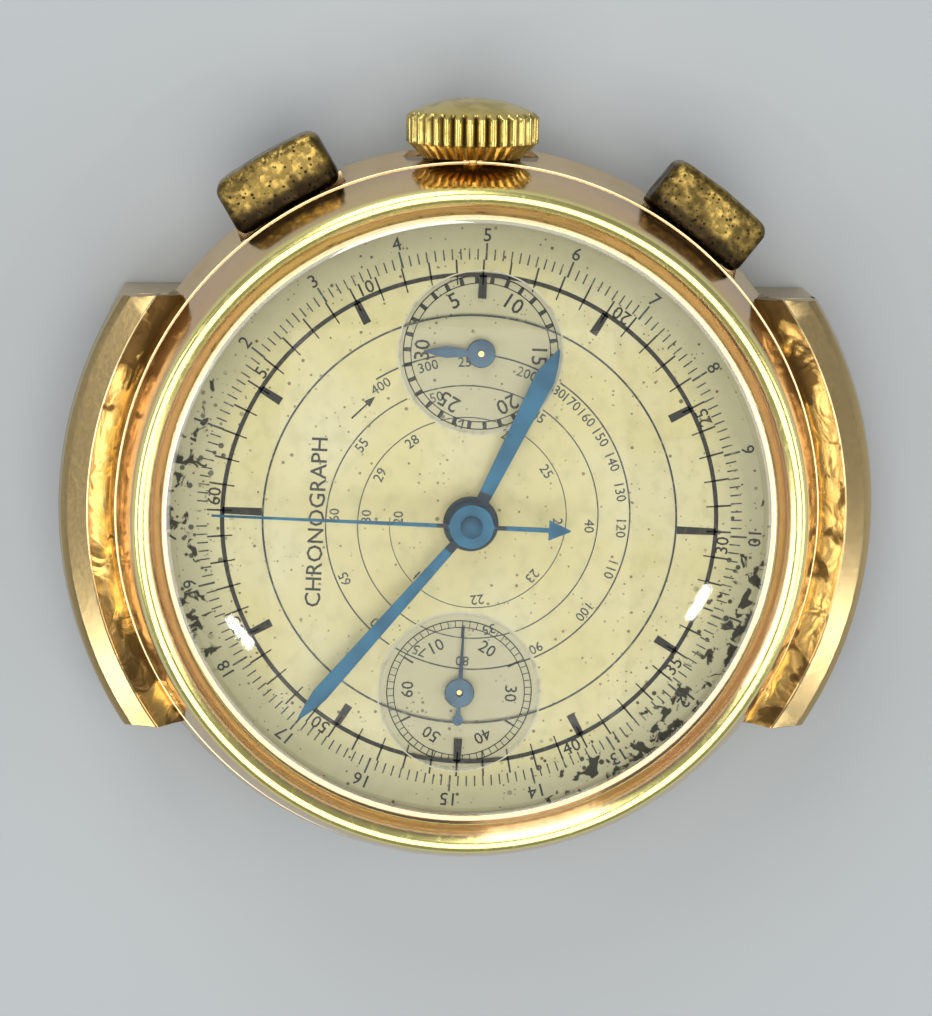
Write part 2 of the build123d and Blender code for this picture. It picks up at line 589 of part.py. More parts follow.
def chronograph_hand():
    """Sweep seconds hand with an arrow counterweight and a capped hub."""
    low = 10.02
    needle = extrude(Polygon((0, -0.17), (13.05, -0.05), (13.05, 0.05), (0, 0.17), align=None), 0.12)
    tail = extrude(Polygon((0, -0.17), (-4.10, -0.12), (-4.10, 0.12), (0, 0.17), align=None), 0.12)
    arrow = extrude(Polygon((-3.90, -0.52), (-5.00, 0), (-3.90, 0.52), align=None), 0.12)
    hand = Pos(0, 0, low) * Rot(0, 0, 90 + DIAL_TURN) * (needle + tail + arrow)
    hand += disc(1.15, low, low + 0.14) + disc(0.55, low, 10.55)
    return hand - disc(0.16, 9, 10.30)


# ---- chronograph work ----
def chronograph_wheel():
    """Centre chronograph wheel with its heart, finger and long arbor."""
    wheel = crossed(toothed(0.055, CHRONO_TEETH, 3.05, 3.20), 2.90, 0.80, 4, 0.3, 3.05, 3.20)
    wheel += disc(0.50, 2.25, 3.20) + heart(1.10, 2.30, 2.55, CENTRE, 180)
    wheel += arm(CENTRE, polar(2.82, 62), 0.24, 2.70, 2.86)
    return wheel + disc(0.16, 1.95, 10.28)


def minute_recorder():
    """Minute recording wheel with its heart and long arbor."""
    wheel = toothed(0.11, COUNTER_TEETH, 2.70, 2.85, COUNTER, between(COUNTER, INTERMEDIATE)[0])
    wheel += disc(0.40, 2.25, 2.85, COUNTER) + heart(0.70, 2.30, 2.55, COUNTER, 180)
    return wheel + disc(0.15, 1.95, 8.80, COUNTER)


def intermediate_wheel():
    """Sliding wheel that the finger steps on once a minute."""
    wheel = toothed(
        0.11, INTERMEDIATE_TEETH, 2.70, 2.85, INTERMEDIATE, meshing(COUNTER, INTERMEDIATE, INTERMEDIATE_TEETH))
    return wheel + disc(0.18, 1.95, 3.00, INTERMEDIATE)


def coupling_clutch():
    """Lever about the seconds arbor, which carries the coupling wheel to the centre."""
    low, high = 3.30, 3.48
    lever = ring(1.10, 0.75, low, high, SECONDS) + (arm(SECONDS, COUPLING, 0.8, low, high))
    lever += arm(SECONDS, (-6.30, 6.30), 0.8, low, high) + arm((-6.30, 6.30), (-0.20, 10.60), 0.7, low, high)
    lever -= disc(0.75, 3, 4, SECONDS)
    return lever + disc(0.14, 2.95, high, COUPLING)


def coupling_wheel():
    """Coupling wheel, always in mesh with the driving wheel."""
    turn = meshing(SECONDS, COUPLING, COUPLING_TEETH)
    return toothed(0.055, COUPLING_TEETH, 3.05, 3.20, COUPLING, turn) - disc(0.14 + SEAT, 3, 4, COUPLING)


def column_wheel():
    """Column wheel: a ratchet ring under six upright columns."""
    wheel = toothed(0.26, 12, 3.36, 3.56, COLUMN) + disc(0.75, 2.50, 3.40, COLUMN)
    columns = ring(1.25, 0.70, 2.55, 3.40, COLUMN)
    for i in range(6):
        gap = Box(2, 0.42, 1.2, align=(Align.MIN, Align.CENTER, Align.MIN))
        columns -= Pos(COLUMN[0], COLUMN[1], 2.3) * Rot(0, 0, 60 * i + 30) * Pos(0.70, 0, 0) * gap
    return wheel + columns + disc(0.30, 3.50, 4.10, COLUMN)


def start_lever():
    """Operating lever from the start pusher to the column wheel."""
    low, high = 3.30, 3.50
    tab = polar(13.90, START_ANGLE)
    lever = arm(START_PIVOT, tab, 0.9, low, high) + arm(START_PIVOT, (4.26, 11.61), 0.6, low, high)
    lever += disc(0.35, 3.50, 4.20, START_PIVOT) + disc(0.42, low, 5.30, tab)
    return lever


def hammer():
    """Reset hammer with a face for each heart and a tail to the reset pusher."""
    low, high = 2.30, 2.55
    tab = polar(13.90, RESET_ANGLE)
    body = arm(HAMMER_PIVOT, (2.42, -0.60), 0.9, low, high) + arm(HAMMER_PIVOT, (10.62, -1.00), 0.8, low, high)
    body += arm(HAMMER_PIVOT, tab, 1.0, low, high) + disc(0.42, low, 5.30, tab)
    return body + disc(0.70, low, 2.90, HAMMER_PIVOT) + disc(0.35, 2.90, 4.20, HAMMER_PIVOT)


def brake_lever():
    """Brake that holds the chronograph wheel's rim when it is stopped."""
    low, high = 3.02, 3.22
    lever = arm(BRAKE_PIVOT, (2.20, -3.45), 0.7, low, high) + arm(BRAKE_PIVOT, (8.60, -5.20), 0.7, low, high)
    return lever + disc(0.50, low, 3.56, BRAKE_PIVOT) + disc(0.30, 3.56, 4.20, BRAKE_PIVOT)


# ---- plates and bridges ----
def mainplate():
    """Main plate with the dial's rim, the barrel's sink and the keyless slot."""
    plate = disc(PLATE_R, PLATE_BASE_Z, PLATE_TOP_Z)
    plate += ring(PLATE_R, 13.60, PLATE_TOP_Z, DIAL_TOP_Z - DIAL_THICK)
    plate -= disc(4.95, 5.9, 6.70, BARREL) + disc(0.60 + SEAT, 5, 8, BARREL)
    corner = (Align.MIN, Align.MIN, Align.MIN)
    winding_slot = Pos(9.20, -1.25, 5.88) * Box(3.80, 2.50, 1.12, align=corner)
    lever_room = Pos(10.70, -3.70, 6.90) * Box(4.20, 3.70, 0.50, align=corner)
    pin_room = Pos(13.30, -0.90, 6.20) * Box(1.60, 0.90, 1.20, align=corner)
    yoke_room = Pos(9.85, 0.40, 6.90) * Box(2.35, 4.30, 0.50, align=corner)
    plate -= winding_slot + lever_room + pin_room + yoke_room
    plate -= lying(STEM_R + 0.06, 12.9, 16, STEM_Z)
    holes = (
        (CENTRE, 0.42 + SEAT), (SECONDS, 0.50), (COUNTER, 0.50), (THIRD, 0.40), (ESCAPE, 0.40), (PALLET, 0.40),
        (BALANCE, 0.40), (SETTING_PIVOT, 0.50 + SEAT), (YOKE_PIVOT, 0.42 + SEAT),
    )
    for at, radius in holes:
        plate -= disc(radius, 5, 8, at)
    for angle in CASE_SCREW_ANGLES:
        plate -= disc(0.45 + SEAT, 5, 8.5, polar(CASE_SCREW_R, angle))
    for angle in DIAL_FOOT_ANGLES:
        plate -= disc(0.44, 5, 8.5, polar(DIAL_FOOT_R, angle))
    return plate + disc(0.22, PLATE_TOP_Z, 7.86, MINUTE_WHEEL)


def screw_room():
    """Room round the heads of the case screws."""
    first, second = [disc(0.95, 3, 7, polar(CASE_SCREW_R, angle)) for angle in CASE_SCREW_ANGLES]
    return first + second


def barrel_bridge():
    """Bridge over barrel and winding, cut for the ratchet and crown wheels."""
    bridge = disc(14.30, BRIDGE_BASE_Z, BRIDGE_TOP_Z) + ring(14.30, 13.45, BRIDGE_TOP_Z, PLATE_BASE_Z)
    right = Pos(-1.0, -15, 0) * Box(16, 30, 8, align=(Align.MIN, Align.MIN, Align.MIN))
    bridge &= right
    bridge -= disc(4.80, 3, 7, BALANCE) + disc(2.10, 3, 7, COCK_FOOT)
    bridge -= disc(4.68, 3.5, 3.96, BARREL) + disc(2.52, 3.5, 3.96, CROWN_WHEEL)
    bridge -= disc(0.80 + SEAT, 3, 5, CROWN_WHEEL) + disc(0.60 + SEAT, 3, 5, BARREL)
    bridge -= disc(1.25, 3.5, 3.96, CLICK) + disc(0.30 + SEAT, 3, 4.31, CLICK)
    bridge -= Pos(9, -1.5, 4.42) * Box(7, 3, 3, align=(Align.MIN, Align.MIN, Align.MIN))
    bridge -= screw_room()
    for angle in (START_ANGLE, RESET_ANGLE):
        bridge -= radial(Pos(13.6, 0, 4.6) * Box(3.4, 3.6, 3.0), angle)
    bores = (
        (CENTRE, 0.42 + SEAT), (COUNTER, 0.50), (COLUMN, 0.30 + SEAT), (START_PIVOT, 0.35 + SEAT),
        (HAMMER_PIVOT, 0.35 + SEAT), (BRAKE_PIVOT, 0.30 + SEAT),
    )
    for at, radius in bores:
        bridge -= disc(radius, 3, 5, at)
    return bridge


def train_bridge():
    """Bridge over the third, fourth and escape wheels."""
    bridge = disc(14.30, BRIDGE_BASE_Z, BRIDGE_TOP_Z) + ring(14.30, 13.45, BRIDGE_TOP_Z, PLATE_BASE_Z)
    left = Pos(-1.3, -15, 0) * Box(16, 30, 8, align=(Align.MAX, Align.MIN, Align.MIN))
    bridge &= left
    beside_balance = Box(3.4, 6.8, 8, align=(Align.MIN, Align.MIN, Align.MIN))
    bridge -= Pos(BALANCE[0], -15.0, 0) * beside_balance
    bridge -= disc(4.80, 3, 7, BALANCE) + screw_room()
    for at, radius in ((SECONDS, 0.50), (THIRD, 0.40), (ESCAPE, 0.40)):
        bridge -= disc(radius, 3, 5, at)
    return bridge + ring(0.72, 0.45, 3.25, BRIDGE_BASE_Z, SECONDS)


def pallet_cock():
    """Small cock that holds the pallet arbor."""
    foot = (-9.60, -8.10)
    cock = arm(PALLET, foot, 1.3, 4.62, 4.84) + disc(0.75, 4.62, PLATE_BASE_Z, foot)
    return cock - disc(0.30, 4, 5, PALLET)


def balance_cock():
    """Cock over the balance, standing on the main plate."""
    cock = arm(COCK_FOOT, BALANCE, 2.4, 2.90, 3.45) + disc(1.80, 2.90, 3.45, COCK_FOOT)
    cock += disc(1.80, 3.40, PLATE_BASE_Z, COCK_FOOT)
    cock &= disc(14.30, 2, 7)
    return cock - disc(0.40, 2, 3.6, BALANCE)


def chronograph_bridge():
    """Bridge over the chronograph wheel and the minute recorder."""
    low, high = 1.75, 2.18
    bridge = arm(BRIDGE_PILLARS[0], CENTRE, 1.5, low, high) + arm(CENTRE, COUNTER, 1.3, low, high)
    bridge += arm(COUNTER, BRIDGE_PILLARS[1], 1.4, low, high)
    for at in BRIDGE_PILLARS:
        bridge += disc(0.80, low, BRIDGE_BASE_Z, at)
    bridge -= disc(0.18 + SEAT, 1, 2.5, INTERMEDIATE)
    return bridge - disc(0.45, 1, 2.5, CENTRE) - disc(0.45, 1, 2.5, COUNTER)


def bridge_screws():
    """Screws of the bridges, cocks and chronograph bridge."""
    spots = (
        ((-6.0, 12.0), 3.30), ((-12.9, 3.4), 3.30), ((12.0, -5.9), 3.30), ((12.9, 4.2), 3.30),
        (COCK_FOOT, 2.60), (BRIDGE_PILLARS[0], 1.45), (BRIDGE_PILLARS[1], 1.45),
    )
    screws = []
    for at, low in spots:
        slot = Pos(at[0], at[1], low) * Rot(0, 0, 35) * Box(1.6, 0.2, 0.24)
        screws.append(disc(0.62, low, low + 0.30, at) - slot)
    return Compound(children=screws)


def bearing_jewels():
    """Ring jewels in plate, bridges and cocks."""
    jewels = []
    seats = (
        (SECONDS, 0.50, 0.13, 6.30, 6.90), (SECONDS, 0.44, 0.13, 3.70, 4.10), (COUNTER, 0.50, 0.15, 6.30, 6.90),
        (THIRD, 0.40, 0.12, 6.30, 6.90), (THIRD, 0.40, 0.12, 3.75, 4.20),
        (ESCAPE, 0.40, 0.09, 6.20, 6.80), (ESCAPE, 0.40, 0.09, 3.80, 4.25),
        (PALLET, 0.40, 0.08, 6.10, 6.60), (PALLET, 0.30, 0.08, 4.64, 4.82),
        (BALANCE, 0.40, 0.12, 6.20, 6.80), (BALANCE, 0.40, 0.12, 2.95, 3.40),
        (CENTRE, 0.45, 0.16, 1.80, 2.15), (COUNTER, 0.45, 0.15, 1.80, 2.15),
    )
    for at, outer, inner, low, high in seats:
        jewels.append(ring(outer, inner + SEAT, low, high, at))
    return Compound(children=jewels)


# ---- dial and pushers ----
def dial():
    """Dial with two sunk registers, holes for the hands and two feet."""
    low = DIAL_TOP_Z - DIAL_THICK
    face = disc(DIAL_R, low, DIAL_TOP_Z)
    for at in (SECONDS, COUNTER):
        face -= disc(REGISTER_R, DIAL_TOP_Z - REGISTER_SINK, DIAL_TOP_Z + 1, at)
        face -= disc(0.35, 7, 9, at)
    face -= disc(1.00 + 0.08, 7, 9)
    for angle in DIAL_FOOT_ANGLES:
        face += disc(0.40, 6.40, low + 0.01, polar(DIAL_FOOT_R, angle))
    return face


def pusher(angle):
    """Rectangular pusher: cap with a bowed outer face, stem and retaining collar."""
    length = PUSHER_OUT - PUSHER_IN
    cap = Box(length, PUSHER_WIDTH, PUSHER_HEIGHT, align=(Align.MIN, Align.CENTER, Align.CENTER))
    cap = fillet(cap.edges().filter_by(Axis.X), 0.55)
    cap = Pos(PUSHER_IN, 0, PUSHER_Z) * cap
    cap &= Pos(0, 0, 0) * disc(PUSHER_OUT, 0, 12)
    cap = fillet(cap.faces().sort_by(Axis.X)[-1].edges(), 0.22)
    stem = lying(0.60, 14.80, PUSHER_IN, PUSHER_Z) + lying(0.95, 14.80, 15.05, PUSHER_Z)
    return radial(cap + stem, angle)


def all_parts():
    """Every node's solid, by name."""
    parts = {
        "mid_case": mid_case(), "bezel": bezel(), "crystal": crystal(), "case_back": case_back(),
        "strap_bar_12": strap_bar(1), "strap_bar_6": strap_bar(-1),
        "crown_tube": crown_tube(), "pusher_tubes": pusher_tubes(), "movement_ring": movement_ring(),
        "case_screws": case_screws(), "mainplate": mainplate(), "barrel_bridge": barrel_bridge(),
        "train_bridge": train_bridge(), "pallet_cock": pallet_cock(), "balance_cock": balance_cock(),
        "chronograph_bridge": chronograph_bridge(), "bridge_screws": bridge_screws(),
        "bearing_jewels": bearing_jewels(), "dial": dial(),
        "crown": crown(), "winding_stem": winding_stem(), "winding_pinion": winding_pinion(),
        "sliding_clutch": sliding_clutch(), "setting_lever": setting_lever(), "yoke": yoke(),
        "crown_wheel": crown_wheel(), "ratchet_wheel": ratchet_wheel(), "barrel_arbor": barrel_arbor(),
        "click": click(), "barrel": barrel(), "barrel_cover": barrel_cover(), "mainspring": mainspring(),
        "centre_wheel": centre_wheel(), "third_wheel": third_wheel(), "fourth_wheel": fourth_wheel(),
        "escape_wheel": escape_wheel(), "pallet_fork": pallet_fork(), "balance_wheel": balance_wheel(),
        "hairspring": hairspring(), "cannon_pinion": cannon_pinion(), "minute_wheel": minute_wheel(),
        "hour_wheel": hour_wheel(), "hour_hand": hour_hand(), "minute_hand": minute_hand(),
        "small_seconds_hand": small_seconds_hand(), "minute_counter_hand": minute_counter_hand(),
        "chronograph_hand": chronograph_hand(), "chronograph_wheel": chronograph_wheel(),
        "minute_recorder": minute_recorder(), "intermediate_wheel": intermediate_wheel(),
        "coupling_clutch": coupling_clutch(), "coupling_wheel": coupling_wheel(),
        "column_wheel": column_wheel(), "start_lever": start_lever(), "hammer": hammer(),
        "brake_lever": brake_lever(), "pusher_start": pusher(START_ANGLE), "pusher_reset": pusher(RESET_ANGLE),
    }
    case = (parts["mid_case"], parts["case_back"])
    parts["lug_hood_12"] = lug_hood(1, case + (parts["strap_bar_12"],))
    parts["lug_hood_6"] = lug_hood(-1, case + (parts["strap_bar_6"],))
    return parts


os.makedirs("parts", exist_ok=True)
for name, solid in all_parts().items():
    export_step(solid, "parts/" + name + ".step")
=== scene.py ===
"""Dresses the two-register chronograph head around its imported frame.

+Z leaves the dial, +X runs to the crown at 3 o'clock and +Y to 12 o'clock.
Sizes in the classes are in millimetres, and meshes are in metres.
"""

import logging
import math
from collections.abc import Callable, Iterable, Sequence
from dataclasses import dataclass, field
from enum import Enum

import bpy
from mathutils import Matrix, Vector


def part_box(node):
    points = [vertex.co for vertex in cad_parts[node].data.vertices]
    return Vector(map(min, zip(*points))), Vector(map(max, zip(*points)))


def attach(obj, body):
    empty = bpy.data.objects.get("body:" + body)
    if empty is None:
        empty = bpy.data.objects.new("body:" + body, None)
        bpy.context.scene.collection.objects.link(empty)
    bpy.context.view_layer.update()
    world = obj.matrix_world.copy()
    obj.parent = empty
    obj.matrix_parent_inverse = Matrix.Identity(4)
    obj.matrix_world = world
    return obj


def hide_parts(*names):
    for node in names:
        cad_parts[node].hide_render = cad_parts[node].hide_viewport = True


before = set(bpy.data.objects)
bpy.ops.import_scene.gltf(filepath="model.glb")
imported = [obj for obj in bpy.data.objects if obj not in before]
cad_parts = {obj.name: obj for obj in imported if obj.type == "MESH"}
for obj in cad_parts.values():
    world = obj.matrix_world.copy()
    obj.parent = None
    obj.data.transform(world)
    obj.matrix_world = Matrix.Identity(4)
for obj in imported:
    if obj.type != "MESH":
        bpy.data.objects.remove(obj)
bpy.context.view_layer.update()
logging.basicConfig(level=logging.INFO, format="%(message)s")
log = logging.getLogger("chronograph")

MM = 0.001
MERGE = 1e-7
Colour = tuple[float, float, float, float]
Profile = Sequence[tuple[float, float]]


class Reading(Enum):
    """Which way the tops of dial figures point."""

    OUTWARD = -90.0
    INWARD = 90.0


# ---- shader bench ----
class Val:
    """A number that varies over a surface, with arithmetic that adds Math nodes."""

    def __init__(self, recipe: "Recipe", socket: bpy.types.NodeSocket) -> None:
        """Wraps a socket.

        Args:
            recipe: The recipe whose tree holds the socket.
            socket: The output socket.
        """
        self.recipe = recipe
        self.socket = socket

    def _math(self, operation: str, first: object, second: object) -> "Val":
        """Adds one Math node.

        Args:
            operation: The Math node's operation.
            first: Its first value.
            second: Its second value.

        Returns:
            The node's result.
        """
        made = self.recipe.node("ShaderNodeMath", {"operation": operation}, {0: first, 1: second})
        return Val(self.recipe, made.outputs[0])

    def __add__(self, other: object) -> "Val":
        """Sum."""
        return self._math("ADD", self, other)

    __radd__ = __add__

    def __sub__(self, other: object) -> "Val":
        """Difference."""
        return self._math("SUBTRACT", self, other)

    def __rsub__(self, other: object) -> "Val":
        """Difference from a number."""
        return self._math("SUBTRACT", other, self)

    def __mul__(self, other: object) -> "Val":
        """Product."""
        return self._math("MULTIPLY", self, other)

    __rmul__ = __mul__

    def __truediv__(self, other: object) -> "Val":
        """Quotient."""
        return self._math("DIVIDE", self, other)

    def __pow__(self, other: float) -> "Val":
        """Power."""
        return self._math("POWER", self, other)

    def most(self, other: object) -> "Val":
        """The larger of two values."""
        return self._math("MAXIMUM", self, other)

    def rising(self, start: float, end: float) -> "Val":
        """A soft mask, from 0 at start to 1 at end.

        Args:
            start: Value where the mask begins.
            end: Value where the mask is full.

        Returns:
            The mask.
        """
        limits = {"Value": self, "From Min": start, "From Max": end}
        made = self.recipe.node("ShaderNodeMapRange", {"interpolation_type": "SMOOTHSTEP"}, limits)
        return Val(self.recipe, made.outputs[0])

    def falling(self, start: float, end: float) -> "Val":
        """A soft mask, from 1 at start to 0 at end."""
        return 1 - self.rising(start, end)

    def between(self, low: float, high: float, soft: float) -> "Val":
        """A band mask with soft sides."""
        return self.rising(low - soft, low + soft) * self.falling(high - soft, high + soft)


class Recipe:
    """The node tree of one finish, in millimetres on the object."""

    def __init__(self, name: str) -> None:
        """Starts an empty material.

        Args:
            name: The material's name.
        """
        self.material = bpy.data.materials.new(name)
        self.material.use_nodes = True
        self.tree = self.material.node_tree
        self.tree.nodes.clear()
        self.output = self.node("ShaderNodeOutputMaterial")
        place = self.node("ShaderNodeTexCoord")
        scaled = self.node("ShaderNodeVectorMath", {"operation": "SCALE"},
                           {0: place.outputs["Object"], "Scale": 1 / MM})
        self.place = scaled.outputs[0]
        apart = self.node("ShaderNodeSeparateXYZ", inputs={0: self.place})
        self.x, self.y, self.z = (Val(self, out) for out in apart.outputs)

    def node(self, kind: str, settings: dict | None = None,
             inputs: dict | None = None) -> bpy.types.Node:
        """Adds a node.

        Args:
            kind: The node's type.
            settings: Its settings, which are set first.
            inputs: Values or links of its sockets.

        Returns:
            The node.
        """
        made = self.tree.nodes.new(kind)
        for key, value in (settings or {}).items():
            setattr(made, key, value)
        for key, value in (inputs or {}).items():
            source = value.socket if isinstance(value, Val) else value
            if isinstance(source, bpy.types.NodeSocket):
                self.tree.links.new(source, made.inputs[key])
            else:
                made.inputs[key].default_value = source
        return made

    def away(self, x: float, y: float) -> Val:
        """Distance from an upright axis."""
        dx = self.x - x
        dy = self.y - y
        return (dx * dx + dy * dy) ** 0.5

    def stretched(self, factors: tuple[float, float, float]) -> bpy.types.NodeSocket:
        """The place, stretched along the axes."""
        made = self.node("ShaderNodeVectorMath", {"operation": "MULTIPLY"}, {0: self.place, 1: factors})
        return made.outputs[0]

    def noise(self, scale: float, detail: float = 3.0, at: object = None, warp: float = 0.0) -> Val:
        """Clouds.

        Args:
            scale: Clouds to the millimetre.
            detail: Octaves.
            at: Another place than the object's own.
            warp: Distortion.

        Returns:
            The clouds, about 0 to 1.
        """
        inputs = {"Vector": at or self.place, "Scale": scale, "Detail": detail, "Distortion": warp}
        return Val(self, self.node("ShaderNodeTexNoise", inputs=inputs).outputs[0])

    def specks(self, scale: float, size: float, share: float) -> Val:
        """Round specks in some of the cells of a Voronoi pattern.

        Args:
            scale: Cells to the millimetre.
            size: Radius of a speck, in cells.
            share: Share of the cells that have one.

        Returns:
            A mask that is 1 in the specks.
        """
        cells = self.node("ShaderNodeTexVoronoi", {"feature": "F1"}, {"Vector": self.place, "Scale": scale})
        tone = self.node("ShaderNodeSeparateColor", inputs={0: cells.outputs["Color"]})
        chosen = Val(self, tone.outputs[0]).falling(share * 0.9, share)
        wide = Val(self, tone.outputs[1]) * 0.6 + 0.4
        near = Val(self, cells.outputs["Distance"]) / wide
        return near.falling(size * 0.7, size) * chosen

    def mix(self, factor: object, first: object, second: object) -> bpy.types.NodeSocket:
        """Colour from first, where factor is 0, to second, where it is 1."""
        made = self.node("ShaderNodeMix", {"data_type": "RGBA"}, {0: factor, 6: first, 7: second})
        return made.outputs[2]

    def bump(self, height: Val, strength: float, depth: float, under: object = None) -> bpy.types.NodeSocket:
        """Normal of a bumpy surface.

        Args:
            height: The relief, 0 to 1.
            strength: Strength of the bump.
            depth: Its depth in millimetres.
            under: Another normal to start from.

        Returns:
            The normal.
        """
        inputs = {"Strength": strength, "Distance": depth * MM, "Height": height}
        if under is not None:
            inputs["Normal"] = under
        return self.node("ShaderNodeBump", inputs=inputs).outputs[0]

    def surface(self, inputs: dict) -> None:
        """Sets the Principled surface and links it to the output."""
        shader = self.node("ShaderNodeBsdfPrincipled", inputs=inputs)
        self.tree.links.new(shader.outputs[0], self.output.inputs["Surface"])


# ---- finishes ----
@dataclass(frozen=True)
class Finish:
    """A named finish."""

    name: str

    def paint(self, r: Recipe) -> None:
        """Fills the recipe's tree."""
        raise NotImplementedError

    def material(self) -> bpy.types.Material:
        """The finish's material, made once."""
        found = bpy.data.materials.get(self.name)
        if found is None:
            recipe = Recipe(self.name)
            self.paint(recipe)
            found = recipe.material
        return found


@dataclass(frozen=True)
class PolishedMetal(Finish):
    """Polished metal with clouds of tarnish and hairline scratches."""

    tint: Colour
    shade: Colour
    rough: float = 0.16
    tarnish: float = 0.45
    hairs: float = 0.10

    def paint(self, r: Recipe) -> None:
        """Fills the recipe's tree."""
        clouds = r.noise(0.55, 5).rising(0.42, 0.72)
        hair = r.noise(1.0, 2, r.stretched((0.9, 14.0, 9.0)))
        fine = r.noise(9.0, 3)
        colour = r.mix(clouds * self.tarnish, self.tint, self.shade)
        rough = clouds * 0.10 + fine * 0.08 + (self.rough - 0.04)
        normal = r.bump(hair + fine * 0.4, self.hairs, 0.02)
        r.surface({"Base Color": colour, "Metallic": 1.0, "Roughness": rough, "Normal": normal})


@dataclass(frozen=True)
class BezelGold(Finish):
    """Bezel: painted highlight on its top line, rosy flank with soft wear."""

    top_start: float
    top_end: float
    # top is the painted highlight colour of the bezel's top crest
    top: Colour = (1.0, 0.90, 0.34, 1)
    flank: Colour = (0.74, 0.54, 0.29, 1)
    rosy: Colour = (0.80, 0.50, 0.33, 1)

    def paint(self, r: Recipe) -> None:
        """Fills the recipe's tree."""
        radius = r.away(0, 0)
        # painted highlight: the top crest between these radii is painted bright yellow
        bright = radius.between(self.top_start, self.top_end, 0.10)
        blush = r.noise(0.09, 2).rising(0.40, 0.62)
        wear = r.noise(1.6, 5).rising(0.50, 0.75)
        hair = r.noise(1.0, 2, r.stretched((3.0, 3.0, 0.8)))
        side = r.mix(blush * 0.55, self.flank, self.rosy)
        side = r.mix(wear * 0.25, side, (0.62, 0.42, 0.20, 1))
        colour = r.mix(bright, side, self.top)
        rough = 0.13 + wear * 0.10 + bright * 0.10
        normal = r.bump(hair + wear, 0.08, 0.03)
        r.surface({"Base Color": colour, "Metallic": 1.0, "Roughness": rough, "Normal": normal})


@dataclass(frozen=True)
class LugGold(Finish):
    """Lugs: dented, polished dished facet with painted highlight, grime and painted dark reflection, in a
    smooth tan rim.
    """

    facet_in: float
    facet_out: float
    # bright is the facet's painted highlight colour, lighter than the rim's plain gold
    bright: Colour = (0.95, 0.80, 0.44, 1)
    rim: Colour = (0.54, 0.40, 0.19, 1)
    # dark tone for grime patches and for the painted dark reflection at the facet's ends
    grime: Colour = (0.10, 0.06, 0.02, 1)

    def paint(self, r: Recipe) -> None:
        """Fills the recipe's tree."""
        radius = r.away(0, 0)
        facet = radius.between(self.facet_in, self.facet_out, 0.06) * r.z.rising(4.6, 4.9)
        dents = r.noise(0.42, 2, warp=1.2)
        grain = r.noise(5.0, 4)
        # painted dark reflection: the facet darkens towards both ends, most towards +X
        ends = r.x.rising(5.2, 8.2) * 0.16 + r.x.falling(-7.5, -4.5) * 0.07
        grime_and_dark_reflection = (r.noise(0.60, 6, warp=0.8) + ends).rising(0.57, 0.66) * facet
        # painted highlight: the facet is painted much lighter than the rim
        colour = r.mix(facet, self.rim, self.bright)
        colour = r.mix(grain.rising(0.45, 0.75) * 0.3, colour, (0.70, 0.48, 0.18, 1))
        colour = r.mix(grime_and_dark_reflection * 0.85, colour, self.grime)
        rough = 0.20 + grain * 0.08 - facet * 0.04 + grime_and_dark_reflection * 0.25
        dented = r.bump(dents * facet + dents * 0.05, 0.30, 0.60)
        normal = r.bump(grain, 0.10, 0.03, dented)
        r.surface({"Base Color": colour, "Metallic": 1.0, "Roughness": rough, "Normal": normal})


@dataclass(frozen=True)
class CrownGold(Finish):
    """Crown: olive gold, with painted shade in the valleys of its ridges."""

    axis_z: float
    valley_r: float
    ridge_r: float
    knurl_start: float
    knurl_end: float

    def paint(self, r: Recipe) -> None:
        """Fills the recipe's tree."""
        dz = r.z - self.axis_z
        radius = (r.y * r.y + dz * dz) ** 0.5
        # painted shade: the valleys between the ridges are darkened towards black
        valley = radius.falling(self.valley_r, self.ridge_r) * radius.rising(2.6, 2.9)
        valley = valley * r.x.between(self.knurl_start - 0.1, self.knurl_end + 0.1, 0.08)
        clouds = r.noise(0.9, 5).rising(0.40, 0.70)
        grain = r.noise(7.0, 4)
        colour = r.mix(clouds * 0.7, (0.68, 0.53, 0.17, 1), (0.40, 0.30, 0.08, 1))
        colour = r.mix(valley * 0.92, colour, (0.05, 0.03, 0.01, 1))
        rough = 0.20 + clouds * 0.14 + valley * 0.3
        normal = r.bump(grain + clouds, 0.16, 0.04)
        r.surface({"Base Color": colour, "Metallic": 1.0, "Roughness": rough, "Normal": normal})


@dataclass(frozen=True)
class AgedBrass(Finish):
    """Pushers: pitted old brass, with painted shade making their sides near black."""

    front_r: float
    tint: Colour = (0.44, 0.30, 0.085, 1)
    olive: Colour = (0.17, 0.12, 0.035, 1)
    # black serves both the painted shade of the sides and the real pits
    black: Colour = (0.020, 0.014, 0.008, 1)

    def paint(self, r: Recipe) -> None:
        """Fills the recipe's tree."""
        edge = r.away(0, 0).rising(self.front_r - 0.55, self.front_r - 0.08)
        worn = r.noise(2.4, 7).rising(0.40, 0.66)
        pits = r.specks(4.5, 0.42, 0.55)
        deep = r.noise(0.9, 4).rising(0.44, 0.62)
        # painted shade: faces below the top and the end next to the case are mixed towards black
        side = (1 - r.z.rising(5.9, 6.25)).most(r.away(0, 0).falling(18.75, 19.65) * 1.6)
        colour = r.mix(worn, self.olive, self.tint)
        colour = r.mix(side * 0.60 * (1 - edge), colour, self.black)
        colour = r.mix((pits * 0.75).most(deep * 0.55) * (1 - edge * 0.7), colour, self.black)
        rough = 0.30 + pits * 0.30 + deep * 0.18 - edge * 0.10
        normal = r.bump(worn * 0.4 - pits, 0.60, 0.08)
        r.surface({"Base Color": colour, "Metallic": 1.0, "Roughness": rough, "Normal": normal})


